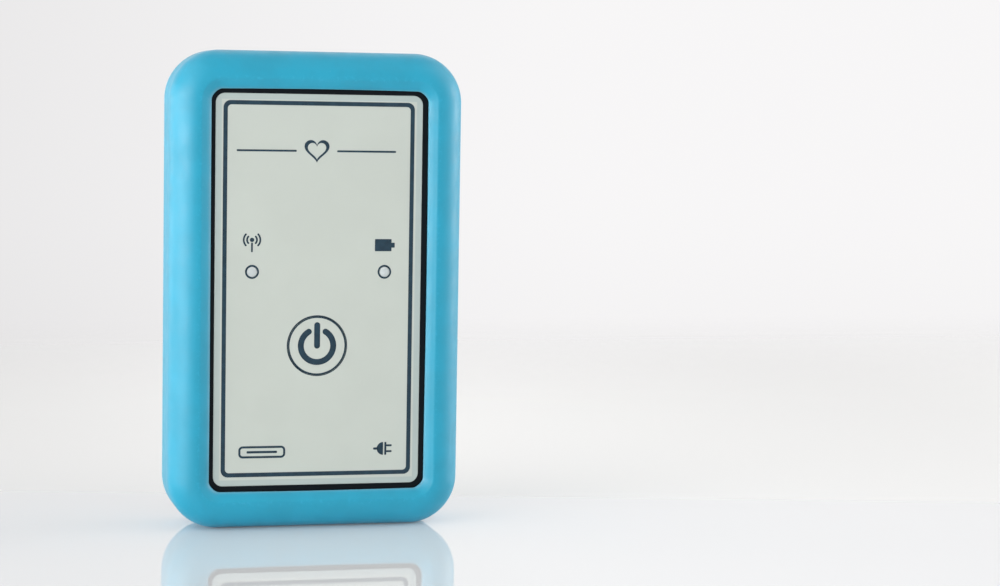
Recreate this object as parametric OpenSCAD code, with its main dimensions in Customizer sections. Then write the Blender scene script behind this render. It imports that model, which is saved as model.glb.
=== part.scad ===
// Hand-held heart monitor in a soft moulded sleeve.
// Stands upright on the sleeve's flat bottom edge. Front faces -Y, +Z is up, millimetres.
// Everything is laid out flat first: x to the right, y up the front face, z out of the front
// face, with the middle of the case at zero. The stand() module then raises it.

/* [Case] */
// Width of the case
case_w = 68.3; // [66:0.1:80]
// Height of the case
case_h = 114.6; // [112:0.1:130]
// Front to back thickness of the case
case_t = 20.4; // [20:0.1:26]
// Corner radius of the case, seen from the front
case_corner_r = 9.2; // [8.6:0.1:10.5]
// Rounding of the case's front and rear edges
case_edge_r = 2; // [1:0.1:2.4]
// Wall of both covers
wall_t = 2; // [1.8:0.1:2.4]
// Height of the alignment lip inside the seam
seam_lip_h = 1.5; // [1:0.1:2]
// Thickness of the alignment lip
seam_lip_t = 0.9; // [0.7:0.05:1]
// Clearance round the alignment lip
seam_gap = 0.1; // [0.05:0.01:0.2]

/* [Sleeve] */
// Thickness of the sleeve at its sides
sleeve_wall = 3.2; // [2.8:0.1:4.5]
// Clearance between sleeve and case
sleeve_fit = 0.1; // [0.05:0.01:0.2]
// How far the lip reaches in over the face of the case
lip_reach = 6.55; // [6:0.05:7]
// Thickness of the lip at its free edge
lip_t = 0.6; // [0.5:0.05:0.9]
// Rounding of the lip's free edge
lip_edge_r = 0.25; // [0.15:0.05:0.3]
// Height of the bead's crest above the face of the case
crest_rise = 2; // [1.7:0.1:2.6]
// Radius of the crest where the bead turns down to the lip
crest_r = 1.6; // [1.2:0.1:2]
// Radius of the bead's large outer round
bead_r = 6.9; // [6.4:0.1:7.4]

/* [Front film] */
// Width of the case's rim that shows between the lip and the film
rim_show = 1.25; // [0.8:0.05:2]
// Thickness of the film, and depth of its recess
film_t = 0.5; // [0.3:0.05:0.6]
// Corner radius of the film
film_r = 2.4; // [1.5:0.1:4]
// Clearance round the film
film_gap = 0.1; // [0.05:0.01:0.2]
// Height of the film's middle above the middle of the case
film_up = 0.2; // [0:0.05:0.5]

/* [Power key] */
// Place of the key to the right of the middle
key_x = -0.2; // [-3:0.1:3]
// Place of the key above the middle of the case
key_y = -13.87; // [-18:0.01:-10]
// Radius of the key's face
key_r = 7.4; // [6.5:0.1:8]
// Width of the slit between the key's face and the film
key_slit = 0.15; // [0.1:0.01:0.25]
// Travel of the key
key_travel = 0.3; // [0.2:0.05:0.35]
// Thickness of the actuator's head
key_head_t = 0.8; // [0.6:0.05:0.9]
// Room left under the head at full travel
key_stop_gap = 0.1; // [0.05:0.01:0.2]
// Radius of the actuator's stem
key_stem_r = 2.5; // [2:0.1:3]
// Running clearance round moving stems
run_gap = 0.1; // [0.06:0.01:0.1]
// Thickness of the floor under the key's pocket
key_floor_t = 1.2; // [1:0.1:1.4]
// Length of the guide collar below that floor
key_collar_h = 0.4; // [0.2:0.1:0.5]

/* [Indicators] */
// Distance of each indicator from the middle
light_x = 17; // [14:0.1:19]
// Height of the indicators above the middle of the case
light_y = 4.94; // [0:0.01:8]
// Radius of a light pipe's tip
light_r = 1.25; // [1:0.05:1.5]
// Height of the small dome on the tip
light_dome = 0.2; // [0.1:0.05:0.3]
// Clearance round the tip
light_gap = 0.1; // [0.05:0.01:0.2]
// Radius of the light pipe's collar
light_collar_r = 2.2; // [2:0.1:2.6]
// Thickness of the collar
light_collar_t = 1; // [0.8:0.1:1.2]
// Wall of the tube that keeps an indicator's light in
shade_t = 0.8; // [0.6:0.1:1]
// Clearance between the collar and that tube
shade_gap = 0.2; // [0.1:0.05:0.3]
// Room between the tube's end and the board
shade_lift = 0.5; // [0.3:0.1:0.8]

/* [Board] */
// Thickness of the circuit board
board_t = 1.6; // [1:0.1:1.8]
// Distance between front cover and board
board_stand = 3.8; // [3.6:0.1:4.2]
// Clearance between board and walls
board_gap = 0.5; // [0.3:0.1:0.8]

/* [Fasteners] */
// Distance of the case screws from the middle, sideways
screw_x = 23.5; // [22.5:0.1:24]
// Distance of the upper case screws from the top of the case
screw_top_in = 11.3; // [10:0.1:14]
// Distance of the lower case screws from the bottom of the case
screw_low_in = 18; // [16:0.1:21]
// Radius of a case screw's shank
screw_r = 1; // [0.8:0.05:1.1]
// Radius of a case screw's head
screw_head_r = 2.2; // [1.9:0.05:2.3]
// Height of a case screw's head
screw_head_h = 1.6; // [1.2:0.05:1.7]
// Clearance round a screw in its pilot hole
pilot_gap = 0.05; // [0.03:0.01:0.08]
// Clearance round a screw where it passes through
screw_gap = 0.3; // [0.2:0.05:0.4]
// Radius of a screw boss on the front cover
boss_r = 3; // [2.6:0.1:3.3]
// Radius of a screw post on the rear cover
post_r = 3.4; // [3.1:0.1:3.6]
// Thickness of the ribs that brace the posts
rib_t = 1.2; // [1:0.1:1.5]
// Height of those ribs above the rear wall
rib_h = 6; // [4:0.5:8]
// Radius of a board screw's shank
board_screw_r = 0.8; // [0.6:0.05:0.9]
// Radius of a board screw's head
board_screw_head_r = 1.7; // [1.4:0.05:1.8]
// Height of a board screw's head
board_screw_head_h = 1.2; // [0.9:0.05:1.3]

/* [Lead socket] */
// Place of the lead socket, left of the middle
lead_x = -14; // [-16:0.1:-13]
// Width of its mouth
lead_mouth_w = 14; // [13:0.05:14.5]
// Height of its mouth
lead_mouth_h = 4.55; // [4.3:0.05:4.7]
// Depth of the socket
lead_depth = 11; // [10:0.1:11.5]
// Thickness of the socket's metal shell
shell_t = 0.45; // [0.3:0.05:0.5]
// How far the mouth lies behind the case's outer wall
mouth_recess = 0.6; // [0.3:0.1:1]
// Clearance between a socket and its hole in the case
port_gap = 0.25; // [0.15:0.05:0.4]
// Width of the sleeve's cut-out for the lead's plug
lead_cut_w = 20; // [19:0.1:21]
// Height of the sleeve's cut-out for the lead's plug
lead_cut_h = 8.8; // [8:0.1:9]

/* [Charge socket] */
// Place of the charge socket, right of the middle
charge_x = 17; // [15:0.1:18]
// Width of its mouth
charge_mouth_w = 7; // [6.8:0.05:7.5]
// Height of its mouth
charge_mouth_h = 2; // [1.8:0.05:2.2]
// Depth of the socket
charge_depth = 5.6; // [5:0.1:6]
// Width of the sleeve's cut-out for the charger's plug
charge_cut_w = 12; // [11:0.1:13]
// Height of the sleeve's cut-out for the charger's plug
charge_cut_h = 7.2; // [6.5:0.1:7.6]

/* [Battery] */
// Width of the battery cell
cell_w = 34; // [30:0.5:36]
// Length of the battery cell
cell_l = 52; // [46:0.5:54]
// Thickness of the battery cell
cell_t = 6.5; // [5:0.1:7]
// Height of the cell's middle above the middle of the case
cell_y = 3; // [0:0.5:5]
// Thickness of the foam pad under the cell
pad_t = 0.6; // [0.4:0.1:1]
// Radius of a battery lead
lead_wire_r = 0.65; // [0.5:0.05:0.8]
// Distance between the two battery leads
lead_wire_pitch = 2; // [1.8:0.1:2.5]
// Room between the cell's end and the plug
wire_reach = 6.4; // [5:0.1:7]

/* [Board parts] */
// Width of the radio module
radio_w = 14; // [12:0.5:18]
// Length of the radio module
radio_l = 20; // [16:0.5:22]
// Distance of the radio module from the board's top edge
radio_in = 4.8; // [2:0.1:6]
// Thickness of the radio module's own board
radio_t = 0.8; // [0.6:0.1:1]
// Bare antenna end of the radio module
radio_antenna = 6; // [4:0.5:7]
// Height of the can on the radio module
radio_can_h = 1.8; // [1.4:0.1:2]
// Border of the radio module round its can
radio_border = 1; // [0.5:0.1:1.5]
// Height of the chip row's middle above the board's lower edge
chip_row_up = 22.8; // [20:0.1:24]
// Width of the front end chip
front_end_w = 9; // [7:0.5:10]
// Width of the controller chip
controller_w = 10; // [8:0.5:11]
// Thickness of those two chips
chip_h = 1.2; // [0.9:0.1:1.4]
// Length of the memory chip
memory_w = 6; // [5:0.5:7]
// Width of the memory chip
memory_l = 5; // [4:0.5:6]
// Thickness of the memory chip
memory_h = 1.5; // [1:0.1:1.7]
// Width of the charger's coil
coil_w = 5; // [4:0.5:6]
// Height of the charger's coil
coil_h = 2.4; // [1.8:0.1:2.6]
// Length of the crystal
crystal_w = 5; // [4:0.5:6]
// Width of the crystal
crystal_l = 3.2; // [2.5:0.1:3.5]
// Height of the crystal
crystal_h = 1.1; // [0.8:0.1:1.3]
// Length of a chip capacitor
capacitor_l = 1.8; // [1.6:0.1:2]
// Width of a chip capacitor
capacitor_w = 1; // [0.8:0.1:1.2]
// Height of a chip capacitor
capacitor_h = 0.9; // [0.6:0.1:1.2]
// Distance from one chip capacitor to the next
capacitor_pitch = 2.2; // [2:0.1:2.6]

/* [Hidden] */
$fn = 64;
// Overshoot of a cutting solid past the face that it opens
over = 1;

// Faces of the case along the thickness
front_z = case_t / 2;
rear_z = -case_t / 2;
plate_in_z = front_z - wall_t;
rear_in_z = rear_z + wall_t;
seam_z = 0;
film_floor_z = front_z - film_t;

// Inside of the case, seen from the front
inner_w = case_w - 2 * wall_t;
inner_h = case_h - 2 * wall_t;
inner_r = case_corner_r - wall_t;
rebate_t = seam_lip_t + seam_gap;
seam_lip_w = inner_w + 2 * seam_lip_t;
seam_lip_l = inner_h + 2 * seam_lip_t;

// Sleeve
sleeve_corner_r = case_corner_r + sleeve_fit + sleeve_wall;
sleeve_w = case_w + 2 * (sleeve_fit + sleeve_wall);
sleeve_h = case_h + 2 * (sleeve_fit + sleeve_wall);
pocket_u = sleeve_corner_r - sleeve_wall;
pocket_v = front_z + sleeve_fit;
pocket_edge_r = case_edge_r + sleeve_fit;
crest_v = front_z + crest_rise;
crest_u = sleeve_corner_r - bead_r;
round_v = crest_v - bead_r;
lip_u = pocket_u - lip_reach;
lip_v = pocket_v + lip_t;
window_w = sleeve_w - 2 * (sleeve_wall + lip_reach);
window_h = sleeve_h - 2 * (sleeve_wall + lip_reach);
film_w = window_w - 2 * rim_show;
film_h = window_h - 2 * rim_show;
// Line that touches both the crest's circle and the lip edge's circle
crest_c = [crest_u, crest_v - crest_r];
lip_c = [lip_u + lip_edge_r, lip_v - lip_edge_r];
slope_run = norm(lip_c - crest_c);
slope_dir = atan2(lip_c[1] - crest_c[1], lip_c[0] - crest_c[0]);
slope_normal = slope_dir - acos((crest_r - lip_edge_r) / slope_run);
slope_n = [cos(slope_normal), sin(slope_normal)];

// Power key
key_head_z = film_floor_z - key_head_t;
key_pocket_z = key_head_z - key_travel - key_stop_gap;
key_collar_z = key_pocket_z - key_floor_t - key_collar_h;
key_hole_r = key_r + key_slit;
key_head_r = key_r - key_slit;
key_collar_t = 2;
key_collar_r = key_stem_r + run_gap + key_collar_t;

// Board and what stands on it
board_front_z = plate_in_z - board_stand;
board_rear_z = board_front_z - board_t;
board_w = inner_w - 2 * board_gap;
board_h = inner_h - 2 * board_gap;
board_r = inner_r - board_gap;
board_low_y = -board_h / 2;
chip_row_y = board_low_y + chip_row_up;
radio_y = board_h / 2 - radio_in - radio_l / 2;

// Tact switch: the button ends where the stem ends
switch_w = 6;
switch_h = 1.6;
switch_top_z = board_front_z + switch_h;
button_r = 1.25;
button_rise = 0.3;
button_in = 0.5;
button_top_z = switch_top_z + key_travel + button_rise;
button_low_z = switch_top_z - button_in;
button_well_z = button_low_z - key_travel - run_gap;
leg_w = 0.8;
leg_l = 1;
leg_t = 0.3;

// Indicators
led_w = 3.2;
led_l = 2.6;
led_h = 1.2;
pipe_gap = 0.4;
pipe_in_r = 1.6;
light_hole_r = light_r + light_gap;
shade_in_r = light_collar_r + shade_gap;
shade_low_z = board_front_z + shade_lift;

// Sockets hang from the rear face of the board
lead_out_w = lead_mouth_w + 2 * shell_t;
lead_out_h = lead_mouth_h + 2 * shell_t;
lead_z = board_rear_z - lead_out_h / 2;
charge_out_w = charge_mouth_w + 2 * shell_t;
charge_out_h = charge_mouth_h + 2 * shell_t;
charge_z = board_rear_z - charge_out_h / 2;
case_low_y = -case_h / 2;
mouth_y = case_low_y + mouth_recess;
cut_r = 2.5;
port_r = 0.6;
lead_mouth_cut = 1.6;
charge_mouth_cut = 0.8;

// Tongues and contacts inside the sockets
lead_back_t = 3;
lead_tongue_w = 11.2;
lead_tongue_t = 1.1;
tongue_short = 1.2;
lead_pins_top = 10;
lead_pins_low = 9;
lead_pitch = 1;
lead_pin_in = 0.5;
pin_w = 0.4;
pin_t = 0.12;
charge_back_t = 1.4;
charge_tongue_w = 4.2;
charge_tongue_t = 0.6;
charge_pins = 5;
charge_pitch = 0.65;
charge_tongue_short = 0.8;
charge_pin_in = 0.3;

// Chips
controller_x = 2;
chip_gap = 2;

// Fasteners
screw_top_y = case_h / 2 - screw_top_in;
screw_low_y = screw_low_in - case_h / 2;
case_screw_at = [
    [-screw_x, screw_top_y], [screw_x, screw_top_y], [-screw_x, screw_low_y], [screw_x, screw_low_y]
];
board_screw_in = 3.65;
board_screw_up = 5;
board_screw_mid_x = 1.5;
board_screw_at = [
    [board_screw_mid_x, board_low_y + board_screw_up],
    [board_w / 2 - board_screw_in, board_low_y + board_screw_up]
];
counter_gap = 0.4;
counter_r = screw_head_r + counter_gap;
screw_seat_z = rear_in_z;
screw_tip_gap = 0.2;
screw_tip_z = plate_in_z - screw_tip_gap;
pilot_past = 0.4;
pilot_end_z = plate_in_z + pilot_past;
board_boss_r = 2.4;
board_screw_tip_gap = 0.6;
board_screw_tip_z = plate_in_z - board_screw_tip_gap;

// Battery and its leads
pad_z = rear_in_z + pad_t;
cell_top_z = pad_z + cell_t;
cell_end_y = cell_y + cell_l / 2;
cell_r = 1.6;
corral_t = 1;
corral_h = 4;
corral_l = 9;
cell_gap = 0.3;
wire_z = pad_z + cell_t / 2;
header_w = 6;
header_l = 7.6;
header_h = 4.8;
header_wall = 0.7;
plug_in = 4;
plug_l = 6;
plug_fit = 0.1;
plug_z = board_rear_z - header_h / 2;
plug_y = cell_end_y + wire_reach;
header_mouth_y = plug_y + plug_l - plug_in;
header_end_y = header_mouth_y + header_l;
wire_rise = plug_z - wire_z;
wire_bend_max = 2;
wire_bend_share = 0.45;
wire_bend_r = min(wire_bend_max, wire_bend_share * wire_rise);
wire_end = wire_reach / 2 - wire_bend_r;

// ---- Shared shapes -------------------------------------------------------

// Raises the flat layout onto the sleeve's bottom edge, front towards -Y
module stand() {
    translate([0, 0, sleeve_h / 2]) rotate([90, 0, 0]) children();
}

// Flat outline made into a plate between two heights
module slab(z0, z1) {
    translate([0, 0, z0]) linear_extrude(z1 - z0) children();
}

// Outline in x and z, drawn out along y between two places
module along_y(y0, y1) {
    translate([0, y1, 0]) rotate([90, 0, 0]) linear_extrude(y1 - y0) children();
}

module round_rect(w, h, r) {
    square([w - 2 * r, h], center = true);
    square([w, h - 2 * r], center = true);
    for (sx = [-1, 1], sy = [-1, 1])
        translate([sx * (w / 2 - r), sy * (h / 2 - r)]) circle(r);
}

module post(at, r, z0, z1) {
    translate([at[0], at[1], z0]) cylinder(h = z1 - z0, r = r);
}

// Block on a face of the board, given by its middle and its two heights
module block(at, w, l, z0, z1) {
    translate([at[0] - w / 2, at[1] - l / 2, z0]) cube([w, l, z1 - z0]);
}

// Carries a profile round a rounded rectangle. The profile's x is the distance out from the
// corner centres, and its y is the height.
module sweep_round(w, h, r) {
    for (side = [0 : 3]) {
        across = (side % 2 == 0 ? w : h) / 2 - r;
        along = (side % 2 == 0 ? h : w) / 2 - r;
        rotate([0, 0, 90 * side]) translate([across, along, 0]) {
            rotate([90, 0, 0]) linear_extrude(2 * along) children();
            rotate_extrude(angle = 90) children();
        }
    }
}

// ---- Sleeve --------------------------------------------------------------

// One half of the bead's section: outer round, crest, slope and lip
module half_bead() {
    intersection() {
        translate([crest_u, round_v]) circle(bead_r);
        translate([crest_u, round_v]) square(bead_r);
    }
    translate([crest_u, 0]) square([bead_r, round_v]);
    translate(crest_c) circle(crest_r);
    translate(lip_c) circle(lip_edge_r);
    polygon([
        [lip_u, 0], [crest_u, 0], crest_c, crest_c + crest_r * slope_n,
        lip_c + lip_edge_r * slope_n, lip_c, [lip_u, lip_c[1]]
    ]);
}

// Section of the pocket that holds the case
module pocket_profile() {
    flat_v = pocket_v - pocket_edge_r;
    translate([lip_u - over, -flat_v]) square([pocket_u - lip_u + over, 2 * flat_v]);
    translate([lip_u - over, -pocket_v])
        square([pocket_u - pocket_edge_r - lip_u + over, 2 * pocket_v]);
    for (v = [-flat_v, flat_v])
        translate([pocket_u - pocket_edge_r, v]) circle(pocket_edge_r);
}

module bead_profile() {
    difference() {
        union() {
            half_bead();
            mirror([0, 1]) half_bead();
        }
        pocket_profile();
    }
}

// Way for a plug through the sleeve's bottom wall
module plug_way(x, z, w, h) {
    low_y = -sleeve_h / 2;
    along_y(low_y - over, low_y + sleeve_wall + over)
        translate([x, z]) round_rect(w, h, cut_r);
}

module sleeve() {
    color([0.20, 0.64, 0.81]) stand() difference() {
        sweep_round(sleeve_w, sleeve_h, sleeve_corner_r) bead_profile();
        plug_way(lead_x, lead_z, lead_cut_w, lead_cut_h);
        plug_way(charge_x, charge_z, charge_cut_w, charge_cut_h);
    }
}

// ---- Covers --------------------------------------------------------------

// Section of one cover's rim, from the corner centres out to the wall
module rim_profile(z0, z1) {
    flat_u = case_corner_r - case_edge_r;
    translate([0, z0]) square([flat_u, z1 - z0]);
    translate([0, z0]) square([case_corner_r, z1 - case_edge_r - z0]);
    translate([flat_u, z1 - case_edge_r]) circle(case_edge_r);
}

// Solid half of the case from the seam to its face
module half_case(depth) {
    sweep_round(case_w, case_h, case_corner_r) rim_profile(0, depth);
    block([0, 0], case_w - 2 * case_corner_r, case_h - 2 * case_corner_r, 0, depth);
}

// Holes through the case's bottom wall for the two sockets
module socket_holes() {
    along_y(case_low_y - over, case_low_y + wall_t + over) {
        translate([lead_x, lead_z])
            round_rect(lead_out_w + 2 * port_gap, lead_out_h + 2 * port_gap, port_r);
        translate([charge_x, charge_z])
            round_rect(charge_out_w + 2 * port_gap, charge_out_h + 2 * port_gap, port_r);
    }
}

// Tube behind the plate that keeps an indicator's light in
module light_shade(x) {
    difference() {
        post([x, light_y], shade_in_r + shade_t, shade_low_z, plate_in_z + over);
        post([x, light_y], shade_in_r, shade_low_z - over, plate_in_z);
    }
}

module front_cover() {
    color([0.11, 0.15, 0.17]) stand() difference() {
        union() {
            difference() {
                translate([0, 0, seam_z]) half_case(front_z - seam_z);
                slab(seam_z - over, plate_in_z) round_rect(inner_w, inner_h, inner_r);
                slab(seam_z - over, seam_z + seam_lip_h + seam_gap)
                    round_rect(inner_w + 2 * rebate_t, inner_h + 2 * rebate_t, inner_r + rebate_t);
            }
            for (at = case_screw_at) post(at, boss_r, board_front_z, plate_in_z + over);
            for (at = board_screw_at) post(at, board_boss_r, board_front_z, plate_in_z + over);
            post([key_x, key_y], key_collar_r, key_collar_z, plate_in_z + over);
            post([key_x, key_y], key_hole_r + key_floor_t, key_pocket_z - key_floor_t, plate_in_z);
            for (sx = [-1, 1]) light_shade(sx * light_x);
        }
        slab(film_floor_z, front_z + over) translate([0, film_up])
            round_rect(film_w + 2 * film_gap, film_h + 2 * film_gap, film_r + film_gap);
        post([key_x, key_y], key_hole_r, key_pocket_z, front_z);
        post([key_x, key_y], key_stem_r + run_gap, key_collar_z - over, key_pocket_z + over);
        for (sx = [-1, 1]) post([sx * light_x, light_y], light_hole_r, plate_in_z - over, front_z);
        for (at = case_screw_at) post(at, screw_r + pilot_gap, board_front_z - over, pilot_end_z);
        for (at = board_screw_at)
            post(at, board_screw_r + pilot_gap, board_front_z - over, pilot_end_z);
        socket_holes();
    }
}

// Corner of the low fence that holds the battery cell
module corral_corner() {
    w = cell_w + 2 * (cell_gap + corral_t);
    l = cell_l + 2 * (cell_gap + corral_t);
    difference() {
        block([0, cell_y], w, l, rear_in_z - over, rear_in_z + corral_h);
        block([0, cell_y], w - 2 * corral_t, l - 2 * corral_t, rear_in_z - 2 * over, front_z);
        block([0, cell_y], w - 2 * corral_l, l + over, rear_in_z - 2 * over, front_z);
        block([0, cell_y], w + over, l - 2 * corral_l, rear_in_z - 2 * over, front_z);
    }
}

// Ribs from the screw posts to the nearest walls, which brace them against a fall
module post_ribs() {
    reach_x = (inner_w + wall_t) / 2;
    reach_y = (inner_h + wall_t) / 2;
    for (at = case_screw_at)
        block(
            [sign(at[0]) * (screw_x + reach_x) / 2, at[1]],
            reach_x - screw_x, rib_t, rear_in_z - over, rear_in_z + rib_h
        );
    for (sx = [-1, 1])
        block(
            [sx * screw_x, (screw_top_y + reach_y) / 2],
            rib_t, reach_y - screw_top_y, rear_in_z - over, rear_in_z + rib_h
        );
}

module rear_cover() {
    color([0.12, 0.14, 0.15]) stand() difference() {
        union() {
            difference() {
                translate([0, 0, seam_z]) mirror([0, 0, 1]) half_case(seam_z - rear_z);
                slab(rear_in_z, seam_z + over) round_rect(inner_w, inner_h, inner_r);
            }
            difference() {
                slab(seam_z - over, seam_z + seam_lip_h)
                    round_rect(seam_lip_w, seam_lip_l, inner_r + seam_lip_t);
                slab(seam_z - 2 * over, front_z) round_rect(inner_w, inner_h, inner_r);
            }
            for (at = case_screw_at) post(at, post_r, rear_in_z - over, board_rear_z);
            post_ribs();
            corral_corner();
        }
        for (at = case_screw_at) {
            post(at, counter_r, rear_z - over, screw_seat_z);
            post(at, screw_r + screw_gap, rear_z, board_rear_z + over);
        }
        socket_holes();
    }
}

// ---- Front film and power key --------------------------------------------

module front_overlay() {
    color([0.79, 0.82, 0.78]) stand() difference() {
        slab(film_floor_z, front_z) translate([0, film_up]) round_rect(film_w, film_h, film_r);
        post([key_x, key_y], key_hole_r, film_floor_z - over, front_z + over);
        for (sx = [-1, 1])
            post([sx * light_x, light_y], light_hole_r, film_floor_z - over, front_z + over);
    }
}

module power_key_face() {
    color([0.80, 0.83, 0.79]) stand() post([key_x, key_y], key_r, film_floor_z, front_z);
}

module key_actuator() {
    color([0.85, 0.85, 0.85]) stand() {
        post([key_x, key_y], key_head_r, key_head_z, film_floor_z);
        post([key_x, key_y], key_stem_r, button_top_z, key_head_z);
    }
}

module switch_button() {
    color([0.15, 0.15, 0.15]) stand() post([key_x, key_y], button_r, button_low_z, button_top_z);
}

module tact_switch() {
    color([0.70, 0.70, 0.68]) stand() difference() {
        union() {
            block([key_x, key_y], switch_w, switch_w, board_front_z, switch_top_z);
            for (sx = [-1, 1], sy = [-1, 1])
                block(
                    [key_x + sx * (switch_w + leg_l) / 2, key_y + sy * switch_w / 3],
                    leg_l + leg_t, leg_w, board_front_z, board_front_z + leg_t
                );
        }
        post([key_x, key_y], button_r + run_gap, button_well_z, switch_top_z + over);
    }
}

// ---- Indicators ----------------------------------------------------------

// Clear stepped pin: lens above the lamp, collar glued under the plate, tip through the film
module light_pipe(x) {
    dome_r = (light_r * light_r + light_dome * light_dome) / (2 * light_dome);
    low_z = board_front_z + led_h + pipe_gap;
    stand() translate([x, light_y, 0]) {
        post([0, 0], pipe_in_r, low_z, plate_in_z - light_collar_t);
        post([0, 0], light_collar_r, plate_in_z - light_collar_t, plate_in_z);
        post([0, 0], light_r, plate_in_z, front_z);
        intersection() {
            translate([0, 0, front_z + light_dome - dome_r]) sphere(dome_r);
            post([0, 0], light_r, front_z, front_z + 2 * light_dome);
        }
    }
}

module light_pipe_left() {
    color([0.88, 0.90, 0.92]) light_pipe(-light_x);
}

module light_pipe_right() {
    color([0.88, 0.90, 0.92]) light_pipe(light_x);
}

module led(x) {
    stand() block([x, light_y], led_w, led_l, board_front_z, board_front_z + led_h);
}

module led_left() {
    color([0.90, 0.88, 0.70]) led(-light_x);
}

module led_right() {
    color([0.90, 0.88, 0.70]) led(light_x);
}

// ---- Board ---------------------------------------------------------------

module main_board() {
    color([0.10, 0.35, 0.20]) stand() difference() {
        slab(board_rear_z, board_front_z) round_rect(board_w, board_h, board_r);
        for (at = case_screw_at)
            post(at, screw_r + screw_gap, board_rear_z - over, board_front_z + over);
        for (at = board_screw_at)
            post(at, board_screw_r + screw_gap, board_rear_z - over, board_front_z + over);
    }
}

// ---- Sockets -------------------------------------------------------------

// Outline of a socket's mouth: a rectangle with its two lower corners cut at 45 degrees. The
// outline grows evenly, so that the metal round the mouth has one thickness.
module socket_mouth(w, h, cut, grow) {
    x = w / 2 + grow;
    y = h / 2 + grow;
    leg = cut + grow * (2 - sqrt(2));
    polygon([[-x, y], [x, y], [x, leg - y], [x - leg, -y], [leg - x, -y], [-x, leg - y]]);
}

// The lead socket's cut corners face the board
module lead_mouth(grow) {
    mirror([0, 1]) socket_mouth(lead_mouth_w, lead_mouth_h, lead_mouth_cut, grow);
}

// The charge socket's cut corners face away from the board
module charge_mouth(grow) {
    socket_mouth(charge_mouth_w, charge_mouth_h, charge_mouth_cut, grow);
}

module lead_socket_shell() {
    color([0.72, 0.72, 0.74]) stand() translate([lead_x, 0, lead_z])
        along_y(mouth_y, mouth_y + lead_depth) difference() {
            lead_mouth(shell_t);
            lead_mouth(0);
        }
}

module lead_socket_core() {
    back_y = mouth_y + lead_depth;
    color([0.14, 0.14, 0.14]) stand() translate([lead_x, 0, lead_z]) {
        along_y(back_y - lead_back_t, back_y) lead_mouth(-plug_fit);
        along_y(mouth_y + tongue_short, back_y - lead_back_t)
            square([lead_tongue_w, lead_tongue_t], center = true);
    }
}

// Row of flat contacts on one side of a tongue
module contact_row(count, pitch, y0, y1, z) {
    for (i = [0 : count - 1])
        block([(i - (count - 1) / 2) * pitch, (y0 + y1) / 2], pin_w, y1 - y0, z, z + pin_t);
}

module lead_socket_contacts() {
    y0 = mouth_y + tongue_short + lead_pin_in;
    y1 = mouth_y + lead_depth - lead_back_t;
    color([0.85, 0.70, 0.35]) stand() translate([lead_x, 0, lead_z]) {
        contact_row(lead_pins_top, lead_pitch, y0, y1, lead_tongue_t / 2);
        contact_row(lead_pins_low, lead_pitch, y0, y1, -lead_tongue_t / 2 - pin_t);
    }
}

module charge_socket_shell() {
    color([0.72, 0.72, 0.74]) stand() translate([charge_x, 0, charge_z])
        along_y(mouth_y, mouth_y + charge_depth) difference() {
            charge_mouth(shell_t);
            charge_mouth(0);
        }
}

module charge_socket_core() {
    back_y = mouth_y + charge_depth;
    color([0.14, 0.14, 0.14]) stand() translate([charge_x, 0, charge_z]) {
        along_y(back_y - charge_back_t, back_y) charge_mouth(-plug_fit);
        along_y(mouth_y + charge_tongue_short, back_y - charge_back_t)
            square([charge_tongue_w, charge_tongue_t], center = true);
    }
}

module charge_socket_contacts() {
    y0 = mouth_y + charge_tongue_short + charge_pin_in;
    y1 = mouth_y + charge_depth - charge_back_t;
    color([0.85, 0.70, 0.35]) stand() translate([charge_x, 0, charge_z])
        contact_row(charge_pins, charge_pitch, y0, y1, -charge_tongue_t / 2 - pin_t);
}

// ---- Battery -------------------------------------------------------------

module battery_cell() {
    color([0.75, 0.76, 0.78]) stand() translate([0, 0, (pad_z + cell_top_z) / 2])
        along_y(cell_y - cell_l / 2, cell_end_y) round_rect(cell_w, cell_t, cell_r);
}

module battery_pad() {
    color([0.25, 0.25, 0.25]) stand()
        block([0, cell_y], cell_w - 2 * cell_r, cell_l - 2 * cell_r, rear_in_z, pad_z);
}

// One lead, from the end of the cell to the plug in an S. Here x runs up the case and y runs
// towards the front.
module battery_lead(x) {
    rise_x = wire_end + wire_bend_r;
    far_x = rise_x + wire_bend_r;
    translate([x, cell_end_y, wire_z]) rotate([90, 0, 90]) {
        wire_straight([0, 0], wire_end, 0);
        translate([wire_end, wire_bend_r]) rotate([0, 0, -90]) wire_bend();
        wire_straight([rise_x, wire_bend_r], wire_rise - 2 * wire_bend_r, 90);
        translate([far_x, wire_rise - wire_bend_r]) rotate([0, 0, 90]) wire_bend();
        wire_straight([far_x, wire_rise], wire_end, 0);
    }
}

module wire_straight(from, length, turn) {
    translate(from) rotate([0, 90, turn]) cylinder(h = length, r = lead_wire_r);
}

module wire_bend() {
    rotate_extrude(angle = 90) translate([wire_bend_r, 0]) circle(lead_wire_r);
}

module battery_leads() {
    color([0.70, 0.12, 0.10]) stand()
        for (sx = [-1, 1]) battery_lead(sx * lead_wire_pitch / 2);
}

module battery_plug() {
    w = header_w - 2 * (header_wall + plug_fit);
    h = header_h - 2 * (header_wall + plug_fit);
    color([0.90, 0.90, 0.86]) stand()
        block([0, plug_y + plug_l / 2], w, plug_l, plug_z - h / 2, plug_z + h / 2);
}

module battery_header() {
    w = header_w - 2 * header_wall;
    h = header_h - 2 * header_wall;
    mid_y = header_end_y - header_l / 2;
    mouth_mid_y = header_mouth_y + (plug_in - over) / 2;
    color([0.88, 0.88, 0.84]) stand() difference() {
        block([0, mid_y], header_w, header_l, board_rear_z - header_h, board_rear_z);
        block([0, mouth_mid_y], w, plug_in + over, plug_z - h / 2, plug_z + h / 2);
    }
}

// ---- Parts on the board --------------------------------------------------

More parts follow.
